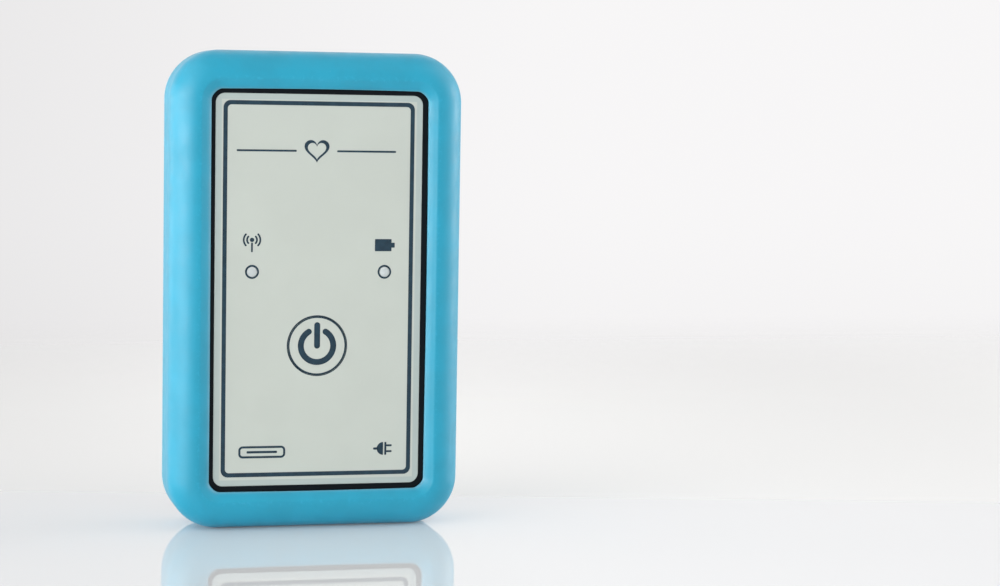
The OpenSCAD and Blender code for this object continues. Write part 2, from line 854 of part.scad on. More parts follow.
module radio_module() {
    can_l = radio_l - radio_antenna - radio_border;
    top_z = board_front_z + radio_t;
    color([0.75, 0.76, 0.78]) stand() {
        block([0, radio_y], radio_w, radio_l, board_front_z, top_z);
        block(
            [0, radio_y - radio_l / 2 + radio_border + can_l / 2], radio_w - 2 * radio_border, can_l,
            top_z, top_z + radio_can_h
        );
    }
}

// Flat part on the rear of the board
module chip(at, w, l, h) {
    stand() block(at, w, l, board_rear_z - h, board_rear_z);
}

module front_end_chip() {
    color([0.12, 0.12, 0.13]) chip([lead_x, chip_row_y], front_end_w, front_end_w, chip_h);
}

module controller_chip() {
    color([0.12, 0.12, 0.13]) chip([controller_x, chip_row_y], controller_w, controller_w, chip_h);
}

module memory_chip() {
    memory_x = controller_x + controller_w / 2 + chip_gap + memory_w / 2;
    color([0.12, 0.12, 0.13]) chip([memory_x, chip_row_y], memory_w, memory_l, memory_h);
}

module charger_coil() {
    coil_y = mouth_y + charge_depth + chip_gap + coil_w / 2;
    color([0.30, 0.30, 0.32]) chip([charge_x - chip_gap, coil_y], coil_w, coil_w, coil_h);
}

module board_crystal() {
    crystal_y = chip_row_y - controller_w / 2 - chip_gap - crystal_l / 2;
    color([0.78, 0.78, 0.80]) chip([controller_x, crystal_y], crystal_w, crystal_l, crystal_h);
}

// Two rows of capacitors above the chips
module chip_capacitors() {
    row_y = chip_row_y + controller_w / 2 + chip_gap / 2 + capacitor_l / 2;
    color([0.62, 0.50, 0.36])
        for (x = [lead_x, controller_x], i = [-2 : 2])
            chip([x + i * capacitor_pitch, row_y], capacitor_w, capacitor_l, capacitor_h);
}

// ---- Screws --------------------------------------------------------------

// Self-tapping screw, head down, with a crossed recess
module screw(r, length, head_r, head_h) {
    slot_w = head_r / 4;
    difference() {
        union() {
            cylinder(h = length - 2 * r, r = r);
            translate([0, 0, length - 2 * r]) cylinder(h = 2 * r, r1 = r, r2 = r / 4);
            translate([0, 0, -head_h + head_r / 5]) cylinder(h = head_h - head_r / 5, r = head_r);
            translate([0, 0, -head_h]) cylinder(h = head_r / 5, r1 = head_r * 0.8, r2 = head_r);
        }
        for (turn = [0, 90])
            rotate([0, 0, turn]) translate([-head_r * 0.6, -slot_w / 2, -head_h - over])
                cube([head_r * 1.2, slot_w, head_h / 2 + over]);
    }
}

module case_screws() {
    color([0.60, 0.61, 0.63]) stand() for (at = case_screw_at)
        translate([at[0], at[1], screw_seat_z])
            screw(screw_r, screw_tip_z - screw_seat_z, screw_head_r, screw_head_h);
}

module board_screws() {
    reach = board_screw_tip_z - board_rear_z;
    color([0.60, 0.61, 0.63]) stand() for (at = board_screw_at)
        translate([at[0], at[1], board_rear_z])
            screw(board_screw_r, reach, board_screw_head_r, board_screw_head_h);
}

// ---- Nodes ---------------------------------------------------------------

sleeve();
front_cover();
rear_cover();
front_overlay();
power_key_face();
key_actuator();
switch_button();
tact_switch();
light_pipe_left();
light_pipe_right();
led_left();
led_right();
main_board();
lead_socket_shell();
lead_socket_core();
lead_socket_contacts();
charge_socket_shell();
charge_socket_core();
charge_socket_contacts();
battery_cell();
battery_pad();
battery_leads();
battery_plug();
battery_header();
radio_module();
front_end_chip();
controller_chip();
memory_chip();
charger_coil();
board_crystal();
chip_capacitors();
board_screws();
case_screws();
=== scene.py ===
"""Looks of a hand-held heart monitor in a soft moulded sleeve.

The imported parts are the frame: cases, film, key, sockets, board and battery keep their own meshes and
get their finishes here. The sleeve's plain solid is replaced by a dense moulded skin, the film gets its
printed marks as thin coats of ink, and a small studio with a glossy sheet stands round it all.

Lengths in the classes are millimetres, unless a name says otherwise. MM turns them into metres.
"""

import logging
import math
from dataclasses import dataclass, field
from enum import Enum
from functools import cache
from typing import Optional, Sequence, Union

import bmesh
import bpy
import numpy as np
from mathutils import Matrix, Vector


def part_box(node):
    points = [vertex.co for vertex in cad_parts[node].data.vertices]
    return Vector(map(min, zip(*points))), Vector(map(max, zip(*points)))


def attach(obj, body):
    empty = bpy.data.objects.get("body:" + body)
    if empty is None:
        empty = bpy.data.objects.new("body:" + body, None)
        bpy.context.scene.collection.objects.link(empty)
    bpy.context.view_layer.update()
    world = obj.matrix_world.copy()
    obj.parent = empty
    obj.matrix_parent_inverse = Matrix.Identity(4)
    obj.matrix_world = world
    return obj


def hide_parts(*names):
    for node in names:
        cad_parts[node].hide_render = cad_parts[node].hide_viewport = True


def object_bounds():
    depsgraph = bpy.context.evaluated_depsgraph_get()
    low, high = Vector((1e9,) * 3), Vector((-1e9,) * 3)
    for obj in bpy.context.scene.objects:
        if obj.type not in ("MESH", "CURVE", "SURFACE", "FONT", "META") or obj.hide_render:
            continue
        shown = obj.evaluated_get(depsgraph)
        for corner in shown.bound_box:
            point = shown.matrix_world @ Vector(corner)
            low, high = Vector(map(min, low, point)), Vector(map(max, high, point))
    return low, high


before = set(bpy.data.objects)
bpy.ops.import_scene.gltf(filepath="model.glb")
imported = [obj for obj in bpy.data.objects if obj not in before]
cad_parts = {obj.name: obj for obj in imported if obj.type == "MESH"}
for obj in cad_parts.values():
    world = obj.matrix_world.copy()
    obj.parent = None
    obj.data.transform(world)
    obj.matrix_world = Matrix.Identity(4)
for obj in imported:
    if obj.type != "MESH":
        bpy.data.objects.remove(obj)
CAD_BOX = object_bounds()

MM = 0.001
LOG = logging.getLogger("monitor")

Point = tuple[float, float]
Triple = tuple[float, float, float]
Colour = Triple
Socket = bpy.types.NodeSocket
Value = Union[float, Socket]
Input = Union[float, Triple, Socket]
Inputs = dict[Union[str, int], Input]

# Signs of x and y at the four corners, anticlockwise from the upper right
QUARTERS = ((1, 1), (-1, 1), (-1, -1), (1, -1))

# Ranges that hold most of a noise's values, and the core of them
MOST: Point = (0.3, 0.7)
CORE: Point = (0.35, 0.65)


class Body(Enum):
    """Bodies of the frame that a piece can ride on."""

    CASE = "case"
    KEY = "power_key"


class Side(Enum):
    """The two sides of the front, seen from the user."""

    LEFT = -1
    RIGHT = 1


# ---- The flat layout ----


@dataclass(frozen=True)
class Plate:
    """Flat layout of the front: x to the right, y up and z out of the face, from the case's middle.

    Attributes:
        middle: The case's middle in the frame, in metres.
        face: Height of the case's front face over the middle plane.
    """

    middle: Vector
    face: float

    @classmethod
    def of_frame(cls) -> "Plate":
        """Works the layout out from the front cover.

        Returns:
            The plate of this frame.
        """
        low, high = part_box("front_cover")
        middle = Vector(((low.x + high.x) / 2, 0.0, (low.z + high.z) / 2))
        return cls(middle, -low.y / MM)

    def at(self, x: float, y: float, z: float) -> Vector:
        """Gives the frame's point, in metres, for a point of the layout."""
        return Vector((self.middle.x + x * MM, -z * MM, self.middle.z + y * MM))

    def centre_of(self, node: str) -> Point:
        """Gives the middle of a node's box in the layout.

        Args:
            node: Name of a part.

        Returns:
            Its middle as x and y.
        """
        low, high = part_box(node)
        centre = (low + high) / 2 - self.middle
        return centre.x / MM, centre.z / MM

    def top_of(self, node: str) -> float:
        """Gives the height of a node's front face over the middle plane."""
        return -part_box(node)[0].y / MM


PLATE = Plate.of_frame()


# ---- Flat outlines ----


def arc(centre: Point, radius: float, start: float, end: float, steps: int) -> list[Point]:
    """Gives the points of an arc with both its ends, whose angles are in degrees from the right."""
    turns = [math.radians(start + (end - start) * i / steps) for i in range(steps + 1)]
    return [(centre[0] + radius * math.cos(t), centre[1] + radius * math.sin(t)) for t in turns]


def circle(centre: Point, radius: float, steps: int = 96) -> list[Point]:
    """Gives the points of a closed circle, without repeating the first."""
    return arc(centre, radius, 0.0, 360.0, steps)[:-1]


def rounded_rectangle(centre: Point, size: Point, radius: float, steps: int = 10) -> list[Point]:
    """Gives a rectangle with round corners.

    Args:
        centre: Middle of the rectangle.
        size: Its width and height.
        radius: Radius of its corners.
        steps: Number of pieces in each corner.

    Returns:
        The closed outline, anticlockwise from the right.
    """
    half_w = size[0] / 2 - radius
    half_h = size[1] / 2 - radius
    outline: list[Point] = []
    for quarter, (x, y) in enumerate(QUARTERS):
        corner = (centre[0] + x * half_w, centre[1] + y * half_h)
        outline += arc(corner, radius, 90.0 * quarter, 90.0 * (quarter + 1), steps)
    return outline


def thick_line(path: Sequence[Point], width: float, cap_steps: int = 10) -> list[Point]:
    """Gives the outline of a line with round ends.

    Args:
        path: Points along the middle of the line.
        width: Its width.
        cap_steps: Number of pieces in each round end.

    Returns:
        The closed outline.
    """
    points = np.array(path, float)
    along = np.gradient(points, axis=0)
    along /= np.linalg.norm(along, axis=1)[:, None]
    across = np.stack([-along[:, 1], along[:, 0]], axis=1) * width / 2
    heading = math.degrees(math.atan2(along[-1][1], along[-1][0]))
    start = math.degrees(math.atan2(along[0][1], along[0][0]))
    far_end = arc(tuple(points[-1]), width / 2, heading - 90, heading + 90, cap_steps)
    near_end = arc(tuple(points[0]), width / 2, start + 90, start + 270, cap_steps)
    right = [tuple(p) for p in (points - across)[1:-1]]
    left = [tuple(p) for p in (points + across)[-2:0:-1]]
    return right + far_end + left + near_end


def new_object(name: str, data: bpy.types.ID) -> bpy.types.Object:
    """Puts a mesh, lamp or camera into the scene as an object.

    Args:
        name: Name of the object.
        data: The mesh, lamp or camera.

    Returns:
        The object.
    """
    made = bpy.data.objects.new(name, data)
    bpy.context.scene.collection.objects.link(made)
    return made


# ---- Shader building ----


class Tree:
    """Node tree of a material or a world.

    Sizes are given in millimetres on the object itself, so a grain keeps its scale on every part.
    """

    def __init__(self, tree: bpy.types.NodeTree, place: str) -> None:
        """Empties the tree and finds the place that its patterns follow.

        Args:
            tree: Blender's own tree.
            place: Name of the texture coordinates.
        """
        self.tree = tree
        self.tree.nodes.clear()
        self.place = self.add("TexCoord").outputs[place]

    def add(self, kind: str, inputs: Optional[Inputs] = None, **settings: str) -> bpy.types.Node:
        """Adds a node.

        Args:
            kind: Its type, without the ShaderNode in front.
            inputs: What goes into its inputs, by their name or number.
            **settings: The node's own settings.

        Returns:
            The node.
        """
        node = self.tree.nodes.new(f"ShaderNode{kind}")
        for name, setting in settings.items():
            setattr(node, name, setting)
        for name, value in (inputs or {}).items():
            self.put(node, name, value)
        return node

    def put(self, node: bpy.types.Node, name: Union[str, int], value: Input) -> None:
        """Links or sets one input of a node.

        Args:
            node: The node.
            name: Name or number of its input.
            value: A socket to link, or a plain value or colour to set.
        """
        target = node.inputs[name]
        if isinstance(value, Socket):
            self.tree.links.new(value, target)
        else:
            target.default_value = (*value, 1.0) if target.type == "RGBA" else value

    def stretched(self, *factors: float) -> Socket:
        """Gives the place on the object with x, y and z scaled."""
        return self.add("Mapping", {"Vector": self.place, "Scale": factors}).outputs["Vector"]

    def axis(self, name: str) -> Socket:
        """Gives one coordinate of the place on the object, in metres."""
        return self.add("SeparateXYZ", {"Vector": self.place}).outputs[name]

    def attribute(self, name: str) -> Socket:
        """Gives a value that is kept on the mesh's points."""
        return self.add("Attribute", attribute_name=name).outputs["Fac"]

    def noise(
        self, size: float, detail: float = 2.0, rough: float = 0.5, place: Optional[Socket] = None
    ) -> Socket:
        """Adds smooth noise from 0 to 1 with blotches of a width, and with finer layers on top."""
        grid = {"Vector": place or self.place, "Scale": 1.0 / (size * MM)}
        return self.add("TexNoise", {**grid, "Detail": detail, "Roughness": rough}).outputs["Fac"]

    def cells(self, size: float, feature: str = "F1", place: Optional[Socket] = None) -> Socket:
        """Adds cells of a width, as the distance to the middle or edge of each."""
        grid = {"Vector": place or self.place, "Scale": 1.0 / (size * MM)}
        return self.add("TexVoronoi", grid, feature=feature).outputs["Distance"]

    def maths(self, operation: str, first: Value, second: Value = 0.0) -> Socket:
        """Adds one arithmetic step, such as ADD."""
        return self.add("Math", {0: first, 1: second}, operation=operation).outputs["Value"]

    def span(
        self, value: Value, low: Value, high: Value, to_low: Value = 0.0, to_high: Value = 1.0
    ) -> Socket:
        """Maps the range from low to high smoothly onto another, and holds it at its ends."""
        ends = {"Value": value, "From Min": low, "From Max": high, "To Min": to_low, "To Max": to_high}
        return self.add("MapRange", ends, interpolation_type="SMOOTHSTEP").outputs["Result"]

    def clouds(self, size: float, within: Point, to: Point = (0.0, 1.0), **looks: Value) -> Socket:
        """Adds noise and draws one range of its values out over another."""
        return self.span(self.noise(size, **looks), *within, *to)

    def tint(self, share: Value, first: Input, second: Input) -> Socket:
        """Mixes two colours, of which the second shows by the share."""
        return self.add("Mix", {"Factor": share, 6: first, 7: second}, data_type="RGBA").outputs[2]

    def relief(self, height: Socket, depth: float, under: Optional[Socket] = None) -> Socket:
        """Turns a height from 0 to 1 into bumps of a real depth, which can lie on other bumps."""
        below = {} if under is None else {"Normal": under}
        return self.add("Bump", {"Distance": depth * MM, "Height": height, **below}).outputs["Normal"]

    def dust(self, size: float, share: float) -> Socket:
        """Scatters rare small specks.

        Args:
            size: Width of the cells, of which each can hold a speck.
            share: Radius of a speck as a share of the cell.

        Returns:
            1 on a speck and 0 elsewhere.
        """
        speck = self.span(self.cells(size), share * 0.6, share, 1.0, 0.0)
        lottery = self.clouds(size * 3.1, (0.60, 0.64), detail=0.0)
        return self.maths("MULTIPLY", speck, lottery)

    def seen_rays(self) -> Socket:
        """Tells the rays of cameras, mirrors and glass from those that carry light.

        Returns:
            1 for a ray that sees, and 0 for one that lights.
        """
        rays = self.add("LightPath").outputs
        bent = self.maths("MAXIMUM", rays["Is Glossy Ray"], rays["Is Transmission Ray"])
        return self.maths("MAXIMUM", rays["Is Camera Ray"], bent)


class Shader(Tree):
    """Node tree of one material, with a Principled shader at its end."""

    def __init__(self, name: str) -> None:
        """Starts the material.

        Args:
            name: Its name.
        """
        self.material = bpy.data.materials.new(name)
        self.material.use_nodes = True
        super().__init__(self.material.node_tree, "Object")
        self.skin = self.add("BsdfPrincipled")
        self.add("OutputMaterial", {"Surface": self.skin.outputs["BSDF"]})

    def set(self, **values: Input) -> None:
        """Sets the Principled shader's own sockets, named in small letters with underscores.

        Args:
            **values: Plain values or sockets, such as roughness=0.4.
        """
        sockets = {socket.name.lower().replace(" ", "_"): socket.name for socket in self.skin.inputs}
        for name, value in values.items():
            self.put(self.skin, sockets[name], value)

    def roughen(self, size: float, low: float, high: float, detail: float = 2.0) -> None:
        """Lets the roughness go between two values in blotches of a width."""
        self.set(roughness=self.clouds(size, MOST, (low, high), detail=detail))


def shade(colour: Colour, factor: float) -> Colour:
    """Gives a colour made darker or lighter by a factor."""
    return tuple(min(1.0, channel * factor) for channel in colour)


# ---- Finishes ----


@dataclass(frozen=True)
class Finish:
    """What every finish has.

    Attributes:
        name: Name of the material.
        colour: Main colour.
        roughness: Main roughness.
    """

    name: str
    colour: Colour
    roughness: float

    @cache
    def material(self) -> bpy.types.Material:
        """Makes the finish's material, the first time that it is asked for.

        Returns:
            The material.
        """
        shader = Shader(self.name)
        shader.set(base_color=self.colour, roughness=self.roughness)
        self.build(shader)
        return shader.material

    def build(self, shader: Shader) -> None:
        """Adds what is special to the finish."""
        raise NotImplementedError


@dataclass(frozen=True)
class SatinSilicone(Finish):
    """Moulded silicone rubber with a satin skin, rubbed a little on its high edges, and a painted highlight
    along its lip.
    """

    mottle: float = 7.0
    mottle_shade: float = 0.93
    grain: float = 0.16
    grain_depth: float = 0.004
    ripple: float = 2.6
    ripple_depth: float = 0.008
    haze: float = 3.4
    scuff: float = 1.1
    rubbed: Colour = (0.02, 0.42, 0.63)
    polish: float = 0.07
    dust_colour: Colour = (0.45, 0.50, 0.52)
    # Strength of the painted highlight, a pale grey line along the lip's edge in the dust's grey
    lip_dust: float = 0.18
    speck_dust: float = 0.25
    shine: float = 0.70
    bloom: float = 0.12
    bloom_rough: float = 0.35

    def build(self, shader: Shader) -> None:
        """Adds mottling, rubbed edges, a pale painted highlight along the lip, dust, grain and slow
        ripples.

        Args:
            shader: The material's tree.
        """
        mottle = shader.clouds(self.mottle, CORE, detail=3.0)
        body = shader.tint(mottle, self.colour, shade(self.colour, self.mottle_shade))
        scuffs = shader.clouds(self.scuff, (0.5, 0.7), (0.0, 0.5), detail=4.0, rough=0.65)
        wear = shader.attribute("edge_wear")
        body = shader.tint(shader.maths("MULTIPLY", wear, scuffs), body, self.rubbed)
        # Painted highlight: the lip's edge is tinted pale grey, in the dust's colour
        lip_highlight_share = shader.maths("MULTIPLY", shader.attribute("lip_dust"), self.lip_dust)
        body = shader.tint(lip_highlight_share, body, self.dust_colour)
        specks = shader.maths("MULTIPLY", shader.dust(1.9, 0.05), self.speck_dust)
        shader.set(base_color=shader.tint(specks, body, self.dust_colour))
        haze = shader.clouds(self.haze, MOST, (self.roughness - 0.04, self.roughness + 0.05), detail=3.0)
        shader.set(roughness=shader.maths("SUBTRACT", haze, shader.maths("MULTIPLY", wear, self.polish)))
        slow = shader.relief(shader.noise(self.ripple, detail=1.0), self.ripple_depth)
        shader.set(normal=shader.relief(shader.noise(self.grain, detail=3.0), self.grain_depth, slow))
        shader.set(specular_ior_level=self.shine, sheen_weight=self.bloom, sheen_roughness=self.bloom_rough)


@dataclass(frozen=True)
class SparkPlastic(Finish):
    """Hard plastic from a spark-eroded mould: a fine even grain with dust in it."""

    flow: float = 11.0
    haze: float = 1.2
    grain: float = 0.22
    grain_depth: float = 0.012
    dust_colour: Colour = (0.55, 0.57, 0.58)
    dust_share: float = 0.2
    shine: float = 0.10

    def build(self, shader: Shader) -> None:
        """Adds the grain, faint flow marks and dust.

        Args:
            shader: The material's tree.
        """
        flow = shader.clouds(self.flow, CORE, place=shader.stretched(1.0, 1.0, 0.35))
        body = shader.tint(flow, self.colour, shade(self.colour, 0.8))
        dust = shader.maths("MULTIPLY", shader.dust(1.3, 0.09), self.dust_share)
        shader.set(base_color=shader.tint(dust, body, self.dust_colour))
        shader.roughen(self.haze, self.roughness - 0.05, self.roughness + 0.06)
        grain = shader.maths("ADD", shader.cells(self.grain, "SMOOTH_F1"), shader.noise(self.grain * 0.6))
        shader.set(normal=shader.relief(grain, self.grain_depth), specular_ior_level=self.shine)


@dataclass(frozen=True)
class SatinFilm(Finish):
    """Polyester front film, printed pale from behind, with a fine satin texture on top."""

    cloud: float = 16.0
    cloud_shade: float = 0.975
    hair: float = 0.7
    hair_polish: float = 0.06
    wave: float = 9.0
    wave_depth: float = 0.01
    grain: float = 0.09
    grain_depth: float = 0.0016
    margin: float = 1.5
    # Painted shade: the margin between the printed line and the sleeve's lip is darkened as if the lip
    # shaded it
    margin_shade_colour: Colour = (0.470, 0.545, 0.520)
    margin_blur: float = 0.1

    def margin_shade_share(self, shader: Shader) -> Socket:
        """Tells where the painted shade lies along the film's margin, beside the sleeve's lip.

        Args:
            shader: The material's tree.

        Returns:
            1 on the margin and 0 inside it.
        """
        low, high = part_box("front_overlay")
        beyond = []
        for name in ("x", "z"):
            near, far = getattr(low, name), getattr(high, name)
            off_middle = shader.maths("SUBTRACT", shader.axis(name.upper()), (near + far) / 2)
            clear = (far - near) / 2 - self.margin * MM
            beyond.append(shader.maths("SUBTRACT", shader.maths("ABSOLUTE", off_middle), clear))
        blur = self.margin_blur * MM
        return shader.span(shader.maths("MAXIMUM", *beyond), -blur, blur)

    def build(self, shader: Shader) -> None:
        """Adds the print's slight clouding, a painted shade along the margin, the satin texture, faint hair
        scratches and dust.

        Args:
            shader: The material's tree.
        """
        cloud = shader.clouds(self.cloud, CORE)
        body = shader.tint(cloud, self.colour, shade(self.colour, self.cloud_shade))
        # Painted shade along the film's margin, under the sleeve's lip
        body = shader.tint(self.margin_shade_share(shader), body, self.margin_shade_colour)
        fleck = shader.maths("MULTIPLY", shader.dust(2.7, 0.035), 0.35)
        shader.set(base_color=shader.tint(fleck, body, shade(self.colour, 0.35)))
        polished = (self.roughness, self.roughness - self.hair_polish)
        along = shader.stretched(1.0, 1.0, 0.06)
        shader.set(roughness=shader.clouds(self.hair, (0.62, 0.75), polished, place=along))
        slow = shader.relief(shader.noise(self.wave, detail=1.0), self.wave_depth)
        shader.set(normal=shader.relief(shader.noise(self.grain), self.grain_depth, slow))


@dataclass(frozen=True)
class ScreenInk(Finish):
    """Screen-printed ink with the faint unevenness of its mesh."""

    wave: float = 1.6
    mesh_pitch: float = 0.11
    mesh_depth: float = 0.0015
    shine: float = 0.3

    def build(self, shader: Shader) -> None:
        """Adds the mesh's unevenness and a slow change of tone.

        Args:
            shader: The material's tree.
        """
        wave = shader.clouds(self.wave, MOST, detail=3.0)
        shader.set(base_color=shader.tint(wave, self.colour, shade(self.colour, 1.35)))
        shader.roughen(0.5, self.roughness - 0.05, self.roughness + 0.07)
        mesh = shader.relief(shader.cells(self.mesh_pitch), self.mesh_depth)
        shader.set(normal=mesh, specular_ior_level=self.shine)


@dataclass(frozen=True)
class MilkyPipe(Finish):
    """Milky light-spreading acrylic."""

    cloud: float = 0.8
    milk: float = 0.35
    milk_depth: float = 0.6
    refraction: float = 1.49

    def build(self, shader: Shader) -> None:
        """Adds depth under the skin, cloudiness and a fine polish.

        Args:
            shader: The material's tree.
        """
        cloud = shader.clouds(self.cloud, MOST, detail=3.0)
        shader.set(base_color=shader.tint(cloud, self.colour, shade(self.colour, 0.9)))
        shader.roughen(0.4, self.roughness, self.roughness + 0.08)
        shader.set(subsurface_weight=self.milk, subsurface_radius=(1.0, 1.0, 1.0))
        shader.set(subsurface_scale=self.milk_depth * MM, ior=self.refraction)
        shader.set(normal=shader.relief(shader.noise(0.3), 0.003))


@dataclass(frozen=True)
class PlainMetal(Finish):
    """Sheet or turned metal with a drawn grain along one axis.

    Attributes:
        pull: Factors on x, y and z that draw the grain out.
        stain: How strongly handling has dulled it.
    """

    pull: Triple = (1.0, 0.08, 1.0)
    stain: float = 0.25

    def build(self, shader: Shader) -> None:
        """Adds the drawn grain and dull stains.

        Args:
            shader: The material's tree.
        """
        stains = shader.clouds(1.7, (0.4, 0.7), (0.0, self.stain), detail=4.0, rough=0.6)
        shader.set(base_color=shader.tint(stains, self.colour, shade(self.colour, 0.55)), metallic=1.0)
        lines = shader.noise(0.12, detail=3.0, place=shader.stretched(*self.pull))
        shader.set(roughness=shader.span(lines, *MOST, self.roughness - 0.06, self.roughness + 0.12))
        shader.set(normal=shader.relief(lines, 0.004))


@dataclass(frozen=True)
class SolderMask(Finish):
    """Green lacquer over copper tracks."""

    track_pitch: float = 1.3
    plane: float = 9.0
    copper_depth: float = 0.03

    def build(self, shader: Shader) -> None:
        """Adds raised tracks, filled planes and the lacquer's shine.

        Args:
            shader: The material's tree.
        """
        tracks = shader.span(shader.cells(self.track_pitch, "DISTANCE_TO_EDGE"), 0.04, 0.07, 1.0, 0.0)
        copper = shader.maths("MAXIMUM", tracks, shader.clouds(self.plane, (0.49, 0.51), detail=0.0))
        shader.set(base_color=shader.tint(copper, self.colour, shade(self.colour, 1.7)))
        shader.roughen(0.8, self.roughness - 0.04, self.roughness + 0.08)
        shader.set(normal=shader.relief(copper, self.copper_depth))


@dataclass(frozen=True)
class MouldedEpoxy(Finish):
    """Mineral-filled moulding, as on chips and small ceramic parts."""

    speckle: Colour = (0.09, 0.09, 0.095)

    def build(self, shader: Shader) -> None:
        """Adds the filler's speckle and a dull skin.

        Args:
            shader: The material's tree.
        """
        filler = shader.clouds(0.08, (0.58, 0.68))
        shader.set(base_color=shader.tint(filler, self.colour, self.speckle))
        shader.roughen(0.6, self.roughness - 0.06, self.roughness + 0.06)
        shader.set(normal=shader.relief(shader.noise(0.1, detail=3.0), 0.008))


@dataclass(frozen=True)
class CellFoil(Finish):
    """Laminated foil of a pouch cell, with soft creases."""

    crease: float = 4.5
    crease_depth: float = 0.06

    def build(self, shader: Shader) -> None:
        """Adds creases and a cloudy sheen.

        Args:
            shader: The material's tree.
        """
        creases = shader.cells(self.crease, "DISTANCE_TO_EDGE", shader.stretched(1.0, 1.0, 0.6))
        slow = shader.relief(shader.span(creases, 0.0, 0.35), self.crease_depth)
        shader.set(normal=shader.relief(shader.noise(0.5, detail=3.0), 0.01, slow), metallic=0.85)
        cloud = shader.clouds(6.0, CORE, detail=3.0)
        shader.set(base_color=shader.tint(cloud, self.colour, shade(self.colour, 0.85)))
        shader.roughen(1.5, self.roughness - 0.05, self.roughness + 0.1)


@dataclass(frozen=True)
class OpenFoam(Finish):
    """Soft foam with open cells."""

    cell: float = 0.35
    cell_depth: float = 0.12

    def build(self, shader: Shader) -> None:
        """Adds the open cells, with painted shade in their hollows.

        Args:
            shader: The material's tree.
        """
        holes = shader.span(shader.cells(self.cell), 0.1, 0.6)
        # Painted shade: each cell's hollow is darkened to about a third of the foam's colour
        shader.set(base_color=shader.tint(holes, shade(self.colour, 0.35), self.colour))
        shader.roughen(1.0, self.roughness - 0.05, self.roughness)
        shader.set(normal=shader.relief(holes, self.cell_depth))


class Shelf:
    """Every finish of the monitor, by what it is on."""

    SLEEVE = SatinSilicone("satin_silicone_blue", (0.001, 0.350, 0.532), 0.45)
    CASE = SparkPlastic("case_black_abs", (0.003, 0.006, 0.009), 0.42)
    FILM = SatinFilm("front_film_pale", (0.585, 0.630, 0.577), 0.44)
    INK = ScreenInk("print_ink_navy", (0.012, 0.034, 0.054), 0.42)
    WHITE_PLASTIC = SparkPlastic("moulded_white", (0.72, 0.72, 0.70), 0.45, dust_share=0.0)
    BLACK_PLASTIC = SparkPlastic("moulded_black", (0.018, 0.018, 0.020), 0.40, dust_share=0.1)
    PIPE = MilkyPipe("light_pipe_milky", (0.64, 0.69, 0.69), 0.26)
    LAMP = MouldedEpoxy("lamp_body", (0.70, 0.66, 0.42), 0.35, speckle=(0.80, 0.78, 0.60))
    BOARD = SolderMask("solder_mask_green", (0.010, 0.090, 0.035), 0.28)
    SOCKET = PlainMetal("drawn_sheet_steel", (0.62, 0.62, 0.61), 0.30)
    GILT = PlainMetal("gilt_contact_metal", (0.86, 0.62, 0.26), 0.25)
    FOIL = CellFoil("pouch_foil", (0.66, 0.68, 0.71), 0.38)
    FOAM = OpenFoam("open_foam_grey", (0.12, 0.12, 0.12), 0.92)
    RED_WIRE = SparkPlastic("wire_sheath_red", (0.50, 0.020, 0.016), 0.38, grain=0.5, dust_share=0.0)
    CHIP = MouldedEpoxy("chip_epoxy_black", (0.016, 0.016, 0.018), 0.55)
    CAPACITOR = MouldedEpoxy("capacitor_ceramic_tan", (0.34, 0.22, 0.12), 0.45, speckle=(0.42, 0.30, 0.18))
    SCREW = PlainMetal("turned_screw_steel", (0.46, 0.47, 0.48), 0.34, pull=(1.0, 1.0, 1.0), stain=0.5)


# ---- Sleeve ----


@dataclass(frozen=True)
class PlugWay:
    """Rounded way through the sleeve's bottom wall, for a plug.

    Attributes:
        x: Its middle, to the right.
        z: Its middle, out of the middle plane.
        width: Width at its narrowest.
        height: Height at its narrowest.
        corner: Radius of its corners.
        flare: Radius of its rounded outer rim.
        past: How far the cutter goes beyond both faces of the wall.
        rim_steps: Number of pieces in the rim's round.
    """

    x: float
    z: float
    width: float
    height: float
    corner: float = 2.5
    flare: float = 0.5
    past: float = 1.0
    rim_steps: int = 6

    def cutter(self, wall: float) -> bpy.types.Object:
        """Makes the solid that cuts the way.

        Args:
            wall: Thickness of the sleeve's bottom wall.

        Returns:
            The cutting object, which flares out at the outer face.
        """
        turns = [math.radians(90 * i / self.rim_steps) for i in range(self.rim_steps + 1)]
        rim = [(self.flare * (1 - math.cos(turn)), self.flare * (1 - math.sin(turn))) for turn in turns]
        rings = [(-self.past, self.flare), *rim, (wall + self.past, 0.0)]
        bottom = CAD_BOX[0].z / MM
        mesh = bmesh.new()
        loops = []
        for depth, grow in rings:
            size = (self.width + 2 * grow, self.height + 2 * grow)
            outline = rounded_rectangle((self.x, self.z), size, self.corner + grow)
            level = (bottom + depth) * MM
            loops.append([mesh.verts.new((x * MM, -z * MM, level)) for x, z in outline])
        for low, high in zip(loops, loops[1:]):
            for i, vert in enumerate(low):
                mesh.faces.new((vert, low[i - 1], high[i - 1], high[i]))
        mesh.faces.new(loops[0])
        mesh.faces.new(list(reversed(loops[-1])))
        bmesh.ops.recalc_face_normals(mesh, faces=mesh.faces)
        data = bpy.data.meshes.new("plug_way")
        mesh.to_mesh(data)
        mesh.free()
        return new_object("plug_way", data)


